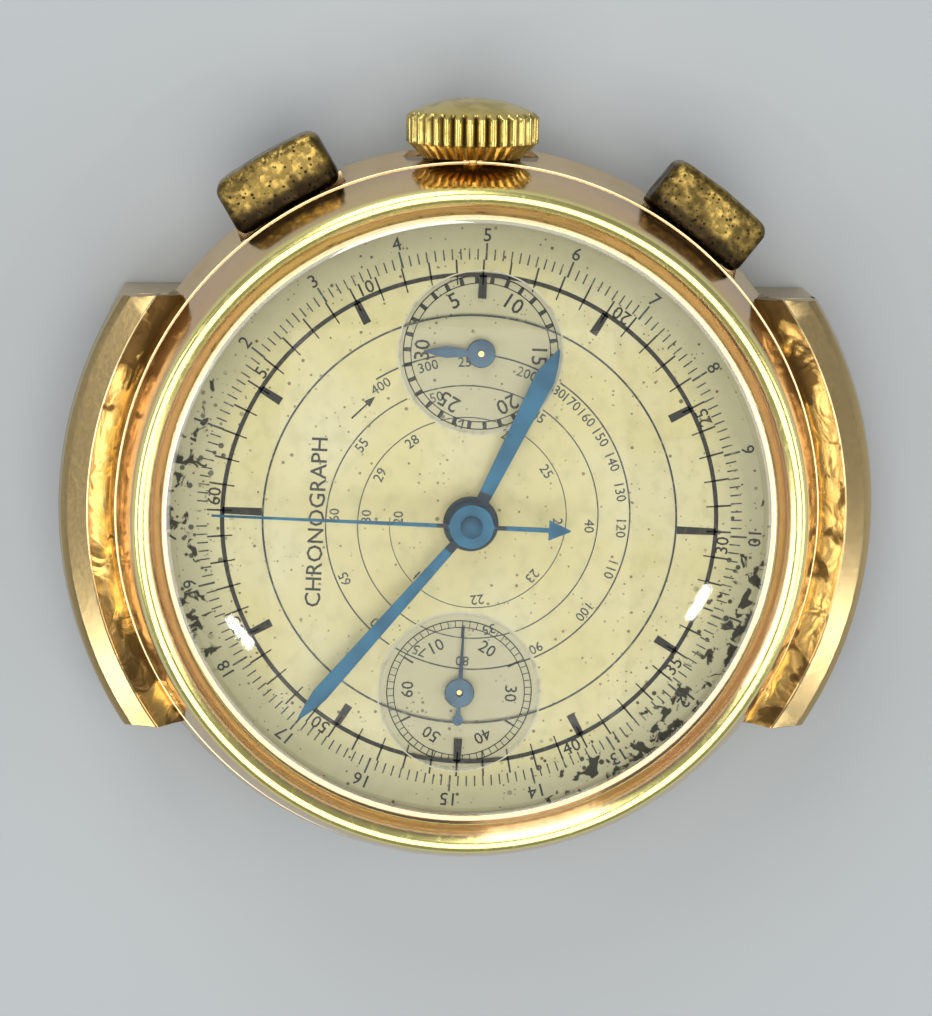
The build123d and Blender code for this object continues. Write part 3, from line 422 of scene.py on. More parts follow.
@dataclass(frozen=True)
class DialPaint(Finish):
    """Cream dial with patina, brown specks and black blotches by its edge."""

    floor_z: float
    cream: Colour = (0.72, 0.66, 0.36, 1)
    pale: Colour = (0.74, 0.70, 0.47, 1)
    olive: Colour = (0.47, 0.45, 0.25, 1)
    brown: Colour = (0.10, 0.06, 0.025, 1)
    black: Colour = (0.012, 0.011, 0.010, 1)

    def paint(self, r: Recipe) -> None:
        """Fills the recipe's tree."""
        radius = r.away(0, 0)
        clouds = r.noise(0.16, 5).rising(0.35, 0.68)
        mottle = r.noise(1.3, 6).rising(0.42, 0.72)
        colour = r.mix(clouds, self.cream, self.pale)
        colour = r.mix(mottle * 0.28, colour, self.olive)
        sunk = r.z.falling(self.floor_z + 0.02, self.floor_z + 0.08)
        colour = r.mix(sunk * 0.75, colour, (0.50, 0.49, 0.37, 1))
        edge = radius.rising(11.8, 14.9)
        colour = r.mix(edge * 0.75, colour, (0.38, 0.38, 0.28, 1))
        crowded = radius.rising(9.5, 14.5)
        dust = r.specks(2.1, 0.24, 0.26).most(r.specks(1.15, 0.17, 0.16))
        flecks = r.specks(4.2, 0.30, 0.34) * r.noise(0.35, 3).rising(0.42, 0.58)
        low = ((r.y * -0.80 - r.x * 0.60) / radius).rising(0.55, 0.98)
        left = (r.y / radius).rising(0.72, 0.99) * 0.85
        rot = r.noise(1.5, 6, warp=0.6)
        patch = (low.most(left) * radius.rising(11.8, 15.2) * 0.26 + rot).rising(0.74, 0.80)
        crowd = low.most(left * 0.6).rising(0.1, 0.6) * radius.rising(11.3, 13.2)
        heavy = r.specks(1.9, 0.36, 0.62) * crowd
        colour = r.mix((dust.most(flecks)) * (0.72 + crowded * 0.2), colour, self.brown)
        colour = r.mix(patch.most(heavy) * 0.94, colour, self.black)
        normal = r.bump(mottle + patch, 0.25, 0.02)
        rough = 0.52 + mottle * 0.12 + patch * 0.2
        r.surface({"Base Color": colour, "Roughness": rough, "Normal": normal})


@dataclass(frozen=True)
class Ink(Finish):
    """Printed ink, worn through in places."""

    tint: Colour
    ghost: Colour
    wear: float = 0.5

    def paint(self, r: Recipe) -> None:
        """Fills the recipe's tree."""
        worn = r.noise(2.6, 6).rising(0.52, 0.66) * self.wear
        colour = r.mix(worn, self.tint, self.ghost)
        rough = 0.42 + worn * 0.2
        r.surface({"Base Color": colour, "Roughness": rough, "Normal": r.bump(worn, 0.2, 0.01)})


@dataclass(frozen=True)
class BluedSteel(Finish):
    """Heat-blued steel, with a painted shadow ring round the hubs."""

    tint: Colour
    deep: Colour
    hub_in: float = 1.16
    hub_out: float = 1.75

    def paint(self, r: Recipe) -> None:
        """Fills the recipe's tree."""
        clouds = r.noise(0.8, 4).rising(0.38, 0.68)
        brushed = r.noise(1.0, 2, r.stretched((10.0, 10.0, 2.0)))
        # painted shadow: a near-black ring round the hub
        hub = r.away(0, 0).between(self.hub_in, self.hub_out, 0.05)
        colour = r.mix(clouds * 0.7, self.tint, self.deep)
        colour = r.mix(hub * 0.9, colour, (0.010, 0.014, 0.022, 1))
        rough = 0.30 + brushed * 0.10
        normal = r.bump(brushed, 0.10, 0.01)
        r.surface({"Base Color": colour, "Metallic": 0.72, "Roughness": rough, "Normal": normal})


@dataclass(frozen=True)
class StripedNickel(Finish):
    """Nickel bridges with a waved stripe and a pearled ground."""

    tint: Colour = (0.66, 0.64, 0.58, 1)
    stripe: float = 1.7

    def paint(self, r: Recipe) -> None:
        """Fills the recipe's tree."""
        slant = r.x * 0.8 + r.y * 0.6
        turns = r.node("ShaderNodeMath", {"operation": "FRACT"}, {0: slant / self.stripe})
        wave = Val(r, turns.outputs[0])
        grain = r.noise(1.0, 3, r.stretched((14.0, 2.0, 6.0)))
        stain = r.noise(0.5, 4).rising(0.50, 0.72)
        colour = r.mix(stain * 0.4, self.tint, (0.40, 0.35, 0.24, 1))
        rough = 0.22 + grain * 0.12
        normal = r.bump(wave + grain * 0.2, 0.25, 0.05)
        r.surface({"Base Color": colour, "Metallic": 1.0, "Roughness": rough, "Normal": normal})


@dataclass(frozen=True)
class Ruby(Finish):
    """Synthetic ruby bearings."""

    def paint(self, r: Recipe) -> None:
        """Fills the recipe's tree."""
        depth = r.noise(2.0, 3)
        colour = r.mix(depth, (0.42, 0.01, 0.05, 1), (0.75, 0.05, 0.14, 1))
        rough = 0.06 + depth * 0.08
        r.surface({"Base Color": colour, "Roughness": rough, "Normal": r.bump(depth, 0.05, 0.01)})


@dataclass(frozen=True)
class ClearCrystal(Finish):
    """Clear acrylic: see-through, with a bright cut edge and a sheen on its outer sphere only."""

    wall_r: float
    sphere_z: float
    sphere_r: float
    sheen: float = 0.60
    edge_sheen: float = 0.15

    def paint(self, r: Recipe) -> None:
        """Fills the recipe's tree."""
        scuffs = r.noise(1.0, 4, r.stretched((6.0, 1.2, 2.0))).rising(0.50, 0.80)
        normal = r.bump(scuffs, 0.03, 0.01)
        sheen = r.node("ShaderNodeFresnel", inputs={"IOR": 1.42, "Normal": normal})
        wall = r.away(0, 0).rising(self.wall_r, self.wall_r + 0.12)
        dz = r.z - self.sphere_z
        outer = ((r.x * r.x + r.y * r.y + dz * dz) ** 0.5).rising(self.sphere_r - 0.30, self.sphere_r - 0.15)
        share = (Val(r, sheen.outputs[0]) * outer * self.sheen).most(wall * self.edge_sheen)
        clear = r.node("ShaderNodeBsdfTransparent", inputs={"Color": (0.97, 0.97, 0.95, 1)})
        gloss = r.node("ShaderNodeBsdfGlossy",
                       inputs={"Color": (1, 1, 1, 1), "Roughness": 0.04, "Normal": normal})
        both = r.node("ShaderNodeMixShader", inputs={0: share, 1: clear.outputs[0], 2: gloss.outputs[0]})
        r.tree.links.new(both.outputs[0], r.output.inputs["Surface"])


@dataclass(frozen=True)
class TableTop(Finish):
    """Plain pale table."""

    tint: Colour = (0.400, 0.428, 0.450, 1)

    def paint(self, r: Recipe) -> None:
        """Fills the recipe's tree."""
        dust = r.noise(0.02, 3)
        colour = r.mix(dust * 0.3, self.tint, (0.37, 0.395, 0.415, 1))
        r.surface({"Base Color": colour, "Roughness": 0.6 + dust * 0.1})


# ---- modelling bench ----
def nothing_selected() -> None:
    """Leaves every object unselected, in object mode."""
    if bpy.context.object is not None and bpy.context.object.mode != "OBJECT":
        bpy.ops.object.mode_set(mode="OBJECT")
    bpy.ops.object.select_all(action="DESELECT")


def take(piece: bpy.types.Object) -> bpy.types.Object:
    """Selects one object alone and makes it active."""
    nothing_selected()
    piece.select_set(True)
    bpy.context.view_layer.objects.active = piece
    return piece


def named(name: str) -> bpy.types.Object:
    """Names the primitive that was just added."""
    piece = bpy.context.object
    piece.name = name
    piece.data.name = name
    return piece


def settle(piece: bpy.types.Object) -> bpy.types.Object:
    """Puts the object's place, turn and scale into its mesh."""
    take(piece)
    bpy.ops.object.transform_apply(location=True, rotation=True, scale=True)
    return piece


def pick(piece: bpy.types.Object, test: Callable[[Vector], bool]) -> None:
    """Opens a piece for editing with only some of its points selected.

    Args:
        piece: The piece.
        test: Says whether the point at a place is selected.
    """
    take(piece)
    bpy.ops.object.mode_set(mode="EDIT")
    bpy.ops.mesh.select_mode(type="VERT")
    bpy.ops.mesh.select_all(action="DESELECT")
    bpy.ops.object.mode_set(mode="OBJECT")
    for point in piece.data.vertices:
        point.select = test(point.co)
    bpy.ops.object.mode_set(mode="EDIT")


def close_up(piece: bpy.types.Object) -> bpy.types.Object:
    """Merges doubled points and turns every face outward."""
    take(piece)
    bpy.ops.object.mode_set(mode="EDIT")
    bpy.ops.mesh.select_all(action="SELECT")
    bpy.ops.mesh.remove_doubles(threshold=MERGE)
    bpy.ops.mesh.normals_make_consistent(inside=False)
    bpy.ops.object.mode_set(mode="OBJECT")
    return piece


def turned(name: str, profile: Profile, around: int = 192, hollow: bool = True) -> bpy.types.Object:
    """Turns a profile about the Z axis, by extruding a circle from point to point.

    Args:
        name: The piece's name.
        profile: (radius, height) points in millimetres.
        around: Faces round the axis.
        hollow: True where the profile closes on itself, False for a solid with flat ends.

    Returns:
        The turned piece, closed.
    """
    nothing_selected()
    points = list(profile) + ([profile[0]] if hollow else [])
    radius, height = points[0]
    fill = "NOTHING" if hollow else "NGON"
    bpy.ops.mesh.primitive_circle_add(
        vertices=around, radius=radius * MM, fill_type=fill, location=(0, 0, height * MM))
    piece = named(name)
    bpy.ops.object.mode_set(mode="EDIT")
    bpy.ops.mesh.select_all(action="SELECT")
    for next_radius, next_height in points[1:]:
        rise = (0, 0, (next_height - height) * MM)
        bpy.ops.mesh.extrude_region_move(TRANSFORM_OT_translate={"value": rise})
        grow = next_radius / radius
        bpy.ops.transform.resize(value=(grow, grow, 1), center_override=(0, 0, next_height * MM))
        radius, height = next_radius, next_height
    bpy.ops.object.mode_set(mode="OBJECT")
    return settle(close_up(piece))


def dome(edge: tuple[float, float], top: float, steps: int, least: float = 0.05) -> list[tuple[float, float]]:
    """Points of a spherical cap, from its edge almost to its axis.

    Args:
        edge: (radius, height) of the edge.
        top: Height on the axis.
        steps: Number of points.
        least: Radius of the last point.

    Returns:
        The (radius, height) points, without the edge.
    """
    rise = top - edge[1]
    sphere = (edge[0] ** 2 + rise ** 2) / (2 * rise)
    radii = [edge[0] + (least - edge[0]) * (i + 1) / steps for i in range(steps)]
    return [(r, top - sphere + math.copysign(math.sqrt(sphere ** 2 - r ** 2), sphere)) for r in radii]


def bowed(start: tuple[float, float], end: tuple[float, float], bow: float,
          steps: int) -> list[tuple[float, float]]:
    """Points of a shallow arc between two profile points.

    Args:
        start: First (radius, height) point.
        end: Last point.
        bow: How far the middle stands out, to the right of the way from start to end.
        steps: Number of points.

    Returns:
        The points, without the first and with the last.
    """
    dr, dz = end[0] - start[0], end[1] - start[1]
    length = math.hypot(dr, dz)
    shares = [(i + 1) / steps for i in range(steps)]
    out = [4 * bow * t * (1 - t) for t in shares]
    return [(start[0] + dr * t + dz / length * o, start[1] + dz * t - dr / length * o)
            for t, o in zip(shares, out)]


def lying(name: str, radius: float, start: float, end: float, height: float,
          around: int = 48) -> bpy.types.Object:
    """A bar along X, of millimetre sizes."""
    nothing_selected()
    bpy.ops.mesh.primitive_cylinder_add(
        vertices=around, radius=radius * MM, depth=(end - start) * MM,
        location=((start + end) / 2 * MM, 0, height * MM), rotation=(0, math.pi / 2, 0))
    return settle(named(name))


def block(name: str, low: Sequence[float], high: Sequence[float]) -> bpy.types.Object:
    """A box between two corners, in millimetres."""
    nothing_selected()
    middle = [(a + b) / 2 * MM for a, b in zip(low, high)]
    size = [(b - a) * MM for a, b in zip(low, high)]
    bpy.ops.mesh.primitive_cube_add(size=1, location=middle, scale=size)
    return settle(named(name))


def with_modifier(piece: bpy.types.Object, kind: str, settings: dict) -> bpy.types.Object:
    """Adds a modifier to a piece and applies it."""
    take(piece)
    made = piece.modifiers.new(kind.title(), kind)
    for key, value in settings.items():
        setattr(made, key, value)
    bpy.ops.object.modifier_apply(modifier=made.name)
    return piece


def cut(piece: bpy.types.Object, *tools: bpy.types.Object, way: str = "DIFFERENCE") -> bpy.types.Object:
    """Cuts, joins or keeps what a piece shares with each tool, and removes the tools.

    Args:
        piece: The piece.
        *tools: The tools.
        way: The Boolean's operation.

    Returns:
        The piece.
    """
    for tool in tools:
        with_modifier(piece, "BOOLEAN", {"operation": way, "solver": "EXACT", "object": tool})
        bpy.data.objects.remove(tool)
    return piece


def eased(piece: bpy.types.Object, width: float, steps: int = 3, angle: float = 28.0) -> bpy.types.Object:
    """Rounds a piece's sharp edges by a width in millimetres."""
    return with_modifier(piece, "BEVEL", {
        "width": width * MM, "segments": steps, "limit_method": "ANGLE",
        "angle_limit": math.radians(angle), "use_clamp_overlap": True, "miter_outer": "MITER_ARC"})


def smoothed(piece: bpy.types.Object, angle: float = 32.0) -> bpy.types.Object:
    """Shades a piece smooth up to an angle."""
    take(piece)
    bpy.ops.object.shade_smooth_by_angle(angle=math.radians(angle))
    return piece


def evened(piece: bpy.types.Object) -> bpy.types.Object:
    """Weights the shading of a cut piece by its faces' areas, so that flats stay flat."""
    return with_modifier(piece, "WEIGHTED_NORMAL", {"keep_sharp": True, "weight": 60})


def sliced(piece: bpy.types.Object, at: Sequence[float], normal: Sequence[float]) -> bpy.types.Object:
    """Removes what lies beyond a plane and closes the cut.

    Args:
        piece: The piece.
        at: A point of the plane, in millimetres.
        normal: The side that is removed.

    Returns:
        The piece.
    """
    take(piece)
    bpy.ops.object.mode_set(mode="EDIT")
    bpy.ops.mesh.select_all(action="SELECT")
    bpy.ops.mesh.bisect(plane_co=[c * MM for c in at], plane_no=normal, use_fill=True, clear_outer=True)
    bpy.ops.object.mode_set(mode="OBJECT")
    return close_up(piece)


def copied(piece: bpy.types.Object, turn: float, name: str | None = None) -> bpy.types.Object:
    """A copy with its own mesh, turned about the Z axis by degrees."""
    twin = piece.copy()
    twin.data = piece.data.copy()
    twin.name = name or piece.name
    bpy.context.scene.collection.objects.link(twin)
    twin.data.transform(Matrix.Rotation(math.radians(turn), 4, "Z"))
    return twin


def moved(piece: bpy.types.Object, turn: float, to: Sequence[float]) -> bpy.types.Object:
    """Turns a piece about the Z axis by degrees and then moves it by millimetres."""
    piece.rotation_euler = (0, 0, math.radians(turn))
    piece.location = [c * MM for c in to]
    return settle(piece)


def joined(name: str, parts: Iterable[bpy.types.Object]) -> bpy.types.Object:
    """Joins several objects into one mesh under a name."""
    parts = list(parts)
    take(parts[0])
    for part in parts:
        part.select_set(True)
    bpy.ops.object.join()
    return named(name)


def fitted(piece: bpy.types.Object, finish: Finish, body: str,
           replaces: Sequence[str] = ()) -> bpy.types.Object:
    """Dresses a finished piece, parents it to its body's empty and hides the CAD nodes that it stands for.

    Returns:
        The piece.
    """
    piece.data.materials.clear()
    piece.data.materials.append(finish.material())
    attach(piece, body)
    if replaces:
        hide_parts(*replaces)
    log.info("%s rides on %s, %d faces", piece.name, body, len(piece.data.polygons))
    return piece


# ---- the watch's finishes ----
BEZEL_FINISH = BezelGold("bezel gold", 16.20, 17.02)
BAND_FINISH = PolishedMetal("band gold", (0.78, 0.58, 0.33, 1), (0.56, 0.38, 0.18, 1), 0.16, 0.4)
BACK_FINISH = PolishedMetal("back gold", (0.86, 0.64, 0.34, 1), (0.56, 0.38, 0.17, 1), 0.17, 0.5, 0.2)
LUG_FINISH = LugGold("lug gold", 18.30, 19.42)
BAR_FINISH = PolishedMetal("strap bar gold", (0.80, 0.58, 0.30, 1), (0.45, 0.30, 0.13, 1), 0.22, 0.6)
PUSHER_FINISH = AgedBrass("aged brass", 21.10)
TUBE_FINISH = PolishedMetal("tube brass", (0.62, 0.45, 0.18, 1), (0.20, 0.13, 0.05, 1), 0.28, 0.8)
CRYSTAL_FINISH = ClearCrystal("clear crystal", 15.12, -35.94, 48.54)
BLACK_INK = Ink("black ink", (0.010, 0.010, 0.012, 1), (0.12, 0.11, 0.08, 1), 0.35)
FINE_INK = Ink("fine grey ink", (0.030, 0.042, 0.055, 1), (0.26, 0.25, 0.19, 1), 0.7)
RIM_PAINT = Ink("register rim paint", (0.64, 0.62, 0.50, 1), (0.46, 0.44, 0.33, 1), 0.6)
HAND_BLUE = BluedSteel("blued hands", (0.018, 0.100, 0.190, 1), (0.008, 0.050, 0.105, 1))
SMALL_BLUE = BluedSteel("blued small hands", (0.060, 0.110, 0.170, 1), (0.025, 0.045, 0.080, 1), 90, 91)
SCREW_BLUE = BluedSteel("blued screws", (0.030, 0.060, 0.200, 1), (0.015, 0.025, 0.080, 1), 90, 91)
NICKEL = StripedNickel("striped nickel")
GILT = PolishedMetal("gilt brass", (0.86, 0.62, 0.28, 1), (0.55, 0.36, 0.14, 1), 0.24, 0.5)
STEEL = PolishedMetal("polished steel", (0.60, 0.60, 0.59, 1), (0.38, 0.37, 0.35, 1), 0.18, 0.4)
SPRING = PolishedMetal("spring steel", (0.42, 0.45, 0.50, 1), (0.20, 0.23, 0.30, 1), 0.26, 0.5)
RUBY = Ruby("ruby")
TABLE = TableTop("table top")


# ---- case ----
@dataclass
class Case:
    """Band, bezel, crystal, back, and the two hooded lugs with their strap bars."""

    band_r: float = 18.70
    band_z: float = 4.20
    base_z: float = 1.70
    bore_r: float = 15.20
    neck_r: float = 16.20
    foot_r: float = 18.00
    foot_z: float = 6.65
    top_r: float = 16.94
    top_in_r: float = 16.30
    top_z: float = 10.10
    strap_wall_r: float = 17.25
    crystal_r: float = 15.58
    crystal_top: float = 12.60
    crystal_wall: float = 0.68
    hood_z: float = 4.40
    lug_r: float = 20.95
    lug_half: float = 11.10
    lug_plate: float = 1.30
    bar_arc_r: float = 19.55
    bar_z: float = 2.30
    bar_r: float = 0.75
    plan_around: int = 256

    def band(self) -> None:
        """Turns the band and cuts its pockets and strap recesses."""
        band = turned("case_band", (
            (self.bore_r, self.base_z), (17.20, self.base_z), (18.25, 2.50), (self.band_r, self.band_z),
            (self.foot_r + 0.05, self.foot_z - 0.05), (self.neck_r, self.foot_z - 0.05),
            (self.neck_r, 8.40), (15.75, 8.40), (15.75, 7.95), (self.bore_r, 7.95)), self.plan_around)
        tools = [lying("crown pocket", Crown.ridge_r + 0.2, Crown.base_x - 0.1, 22, Crown.axis_z)]
        for pusher in PUSHERS:
            half_w, half_h = pusher.width / 2 + 0.1, pusher.height / 2 + 0.1
            start = pusher.inner_r - pusher.travel - 0.1
            pocket = block("pusher pocket", (start, -half_w, pusher.axis_z - half_h),
                           (start + 4, half_w, pusher.axis_z + half_h))
            tools.append(moved(pocket, pusher.angle, (0, 0, 0)))
        for side in (0, 180):
            way = turned("strap way", (
                (self.strap_wall_r, -1), (22, -1), (22, self.hood_z), (self.strap_wall_r, self.hood_z)))
            half = self.lug_half - self.lug_plate
            sliced(sliced(way, (half, 0, 0), (1, 0, 0)), (-half, 0, 0), (-1, 0, 0))
            tools.append(moved(sliced(way, (0, 5, 0), (0, -1, 0)), side, (0, 0, 0)))
        evened(smoothed(eased(cut(band, *tools), 0.07)))
        fitted(band, BAND_FINISH, "case", ["mid_case"])

    def bezel(self) -> None:
        """Turns the bezel with its bowed flank and narrow bright top."""
        foot = (self.foot_r, self.foot_z)
        top = (self.top_r, self.top_z - 0.12)
        inner = (self.top_in_r, self.top_z - 0.08)
        seat = self.crystal_r + 0.04
        flank = bowed(foot, top, 0.12, 8)
        crest = bowed(top, inner, 0.14, 6)
        inside = ((seat, 9.30), (seat, 8.75), (15.30, 8.75), (15.30, 8.45),
                  (self.neck_r + 0.02, 8.45), (self.neck_r + 0.02, self.foot_z))
        bezel = turned("bezel_ring", (foot, *flank, *crest, *inside), self.plan_around)
        smoothed(eased(bezel, 0.05, 2), 30)
        fitted(bezel, BEZEL_FINISH, "case", ["bezel"])

    def crystal(self) -> None:
        """Turns the domed crystal as one closed shell."""
        inner_r = self.crystal_r - self.crystal_wall
        wall_top, low, thick = 9.75, 8.78, 0.85
        under = dome((inner_r, 9.85), self.crystal_top - thick, 20)
        edge = (self.crystal_r - 0.42, wall_top + 0.42)
        shoulder = bowed((self.crystal_r, wall_top), edge, 0.12, 4)
        over = dome(edge, self.crystal_top, 20)
        profile = (*reversed(under), (inner_r, 9.85), (inner_r, low), (self.crystal_r, low),
                   (self.crystal_r, wall_top), *shoulder, *over)
        crystal = turned("domed_crystal", profile, 160, hollow=False)
        smoothed(eased(crystal, 0.04, 2), 30)
        fitted(crystal, CRYSTAL_FINISH, "case", ["crystal"])

    def back(self) -> None:
        """Turns the snap-on back, with its finger lip."""
        rim_z = self.base_z - 0.02
        inner_r = self.bore_r - 0.02
        back = turned("snap_back", (
            (0.05, 0.80), (13.20, 0.80), (14.75, 1.30), (14.75, 2.30), (inner_r, 2.30), (inner_r, rim_z),
            (17.00, rim_z), (17.00, 1.10), (16.30, 0.55), (13.50, 0), (0.05, 0)), 192, hollow=False)
        smoothed(eased(back, 0.10), 30)
        fitted(back, BACK_FINISH, "case", ["case_back"])

    def lug(self, side: int) -> None:
        """Builds one hooded lug over its two end plates.

        Args:
            side: 12 or 6, the end of the watch that it holds.
        """
        hood = turned("lug hood", (
            (18.35, 4.40), (18.10, 5.58), (18.30, 5.60), (19.40, 6.75), (20.45, 6.50), (20.80, 6.20),
            (self.lug_r, 5.60), (self.lug_r, 4.40), (19.95, 4.40), (19.95, 5.10), (19.00, 5.10),
            (18.80, 4.40)), self.plan_around)
        plate = turned("end plate", ((16.50, 0.20), (self.lug_r - 0.004, 0.20), (self.lug_r - 0.004, 5.20),
                                     (18.50, 5.20), (18.50, 4.41), (16.50, 4.41)), self.plan_around)
        inner = self.lug_half - self.lug_plate
        for part in (hood, plate):
            sliced(part, (0, 12, 0), (0, -1, 0))
            sliced(part, (self.lug_half, 0, 0), (1, 0, 0))
            sliced(part, (-self.lug_half, 0, 0), (-1, 0, 0))
        far = sliced(copied(plate, 0, "far end plate"), (-inner, 0, 0), (1, 0, 0))
        near = sliced(plate, (inner, 0, 0), (-1, 0, 0))
        core = turned("band core", (
            (12, 0.55), (16.30, 0.55), (17.00, 1.10), (17.00, 1.69), (17.20, 1.70), (18.25, 2.50),
            (self.band_r, self.band_z), (18.05, 6.60), (18.00, 8.0), (12, 8.0)), self.plan_around)
        lug = cut(hood, near, far, way="UNION")
        close_up(cut(lug, core))
        evened(smoothed(eased(lug, 0.09), 18))
        lug.name = f"hooded_lug_{side}"
        moved(lug, 0 if side == 12 else 180, (0, 0, 0))
        fitted(lug, LUG_FINISH, "case", [f"lug_hood_{side}"])

    def strap_bar(self, side: int) -> None:
        """Bends one strap bar to the case's curve."""
        nothing_selected()
        bpy.ops.mesh.primitive_torus_add(
            major_radius=self.bar_arc_r * MM, minor_radius=self.bar_r * MM, major_segments=240,
            minor_segments=24, location=(0, 0, self.bar_z * MM))
        bar = settle(named(f"bent_strap_bar_{side}"))
        reach = self.lug_half - self.lug_plate + 0.8
        for at, normal in (((0, 8, 0), (0, -1, 0)), ((reach, 0, 0), (1, 0, 0)), ((-reach, 0, 0), (-1, 0, 0))):
            sliced(bar, at, normal)
        smoothed(eased(bar, 0.08, 2, 60))
        moved(bar, 0 if side == 12 else 180, (0, 0, 0))
        fitted(bar, BAR_FINISH, "case", [f"strap_bar_{side}"])

    def build(self) -> None:
        """Builds and dresses the whole case."""
        self.band()
        self.bezel()
        self.crystal()
        self.back()
        for side in (12, 6):
            self.lug(side)
            self.strap_bar(side)


@dataclass
class Crown:
    """Ridged crown with a smooth domed end."""

    axis_z: float = 5.90
    base_x: float = 18.25
    ridge_r: float = 3.35
    valley: float = 0.30
    ridges: int = 34
    ridge_points: int = 8
    end_x: float = 21.22

    def build(self) -> None:
        """Turns the crown, presses its valleys and lays it along X."""
        knurl_start, knurl_end = self.base_x + 0.75, self.base_x + 2.05
        rim = (self.ridge_r - 0.28, knurl_end + 0.22)
        levels = [knurl_start + (knurl_end - knurl_start) * i / 4 for i in range(5)]
        profile = ((0.63, self.base_x + 2.0), (0.63, self.base_x + 1.20), (0.83, self.base_x + 1.18),
                   (0.83, self.base_x), (2.55, self.base_x),
                   (self.ridge_r - 0.10, knurl_start - 0.05), *((self.ridge_r, z) for z in levels),
                   (self.ridge_r - 0.08, knurl_end + 0.05), rim, *dome(rim, self.end_x, 10))
        crown = turned("ridged_crown", profile, self.ridges * self.ridge_points, hollow=False)
        step = 2 * math.pi / (self.ridges * self.ridge_points)
        for offset, share in ((0, 1.0), (1, 0.72), (2, 0.22)):
            def in_valley(p: Vector) -> bool:
                """Whether a point of the ridged zone is this far from a valley's middle."""
                place = round(math.atan2(p.y, p.x) / step) % self.ridge_points
                near = min(place, self.ridge_points - place) == offset
                return near and math.hypot(p.x, p.y) > (self.ridge_r - 0.2) * MM
            pick(crown, in_valley)
            inward = 1 - self.valley * share / self.ridge_r
            bpy.ops.transform.resize(value=(inward, inward, 1), center_override=(0, 0, 0))
            bpy.ops.object.mode_set(mode="OBJECT")
        crown.rotation_euler = (0, math.pi / 2, 0)
        crown.location = (0, 0, self.axis_z * MM)
        smoothed(settle(crown), 50)
        finish = CrownGold("crown gold", self.axis_z, self.ridge_r - self.valley, self.ridge_r - 0.06,
                           knurl_start, knurl_end)
        fitted(crown, finish, "crown", ["crown"])


@dataclass
class Pusher:
    """One rectangular pusher, its outer face curved like the case."""

    name: str
    node: str
    body: str
    angle: float
    axis_z: float = 4.90
    height: float = 2.80
    width: float = 5.90
    inner_r: float = 18.00
    outer_r: float = 21.10
    travel: float = 0.90
    stem_r: float = 0.60
    stem_start: float = 14.80

    def build(self) -> None:
        """Shapes the cap, puts it on its stem and turns it to its place."""
        half_w, half_h = self.width / 2, self.height / 2
        cap = block(self.name, (self.inner_r, -half_w, self.axis_z - half_h),
                    (self.outer_r + 0.5, half_w, self.axis_z + half_h))
        nothing_selected()
        bpy.ops.mesh.primitive_cylinder_add(
            vertices=64, radius=self.outer_r * MM, depth=12 * MM, location=(0, 0, self.axis_z * MM))
        cut(cap, named("case curve"), way="INTERSECT")
        eased(cap, 0.55, 6, 25)
        stem = lying("stem", self.stem_r, self.stem_start + 0.1, self.inner_r + 0.5, self.axis_z)
        collar = lying("collar", 0.95, self.stem_start, self.stem_start + 0.25, self.axis_z)
        cut(cap, cut(stem, collar, way="UNION"), way="UNION")
        moved(smoothed(cap, 40), self.angle, (0, 0, 0))
        fitted(cap, PUSHER_FINISH, self.body, [self.node])


PUSHERS = (Pusher("start_pusher_cap", "pusher_start", "start_pusher", 30.3),
           Pusher("reset_pusher_cap", "pusher_reset", "reset_pusher", -38.1))


# ---- dial ----
@dataclass(frozen=True)
class Register:
    """A subsidiary dial: its place and the scale printed on it."""

    name: str
    x: float
    y: float
    track_in: float
    track_out: float
    divisions: int
    figures: Sequence[int]
    figure_r: float
    figure_height: float
    tick_width: float


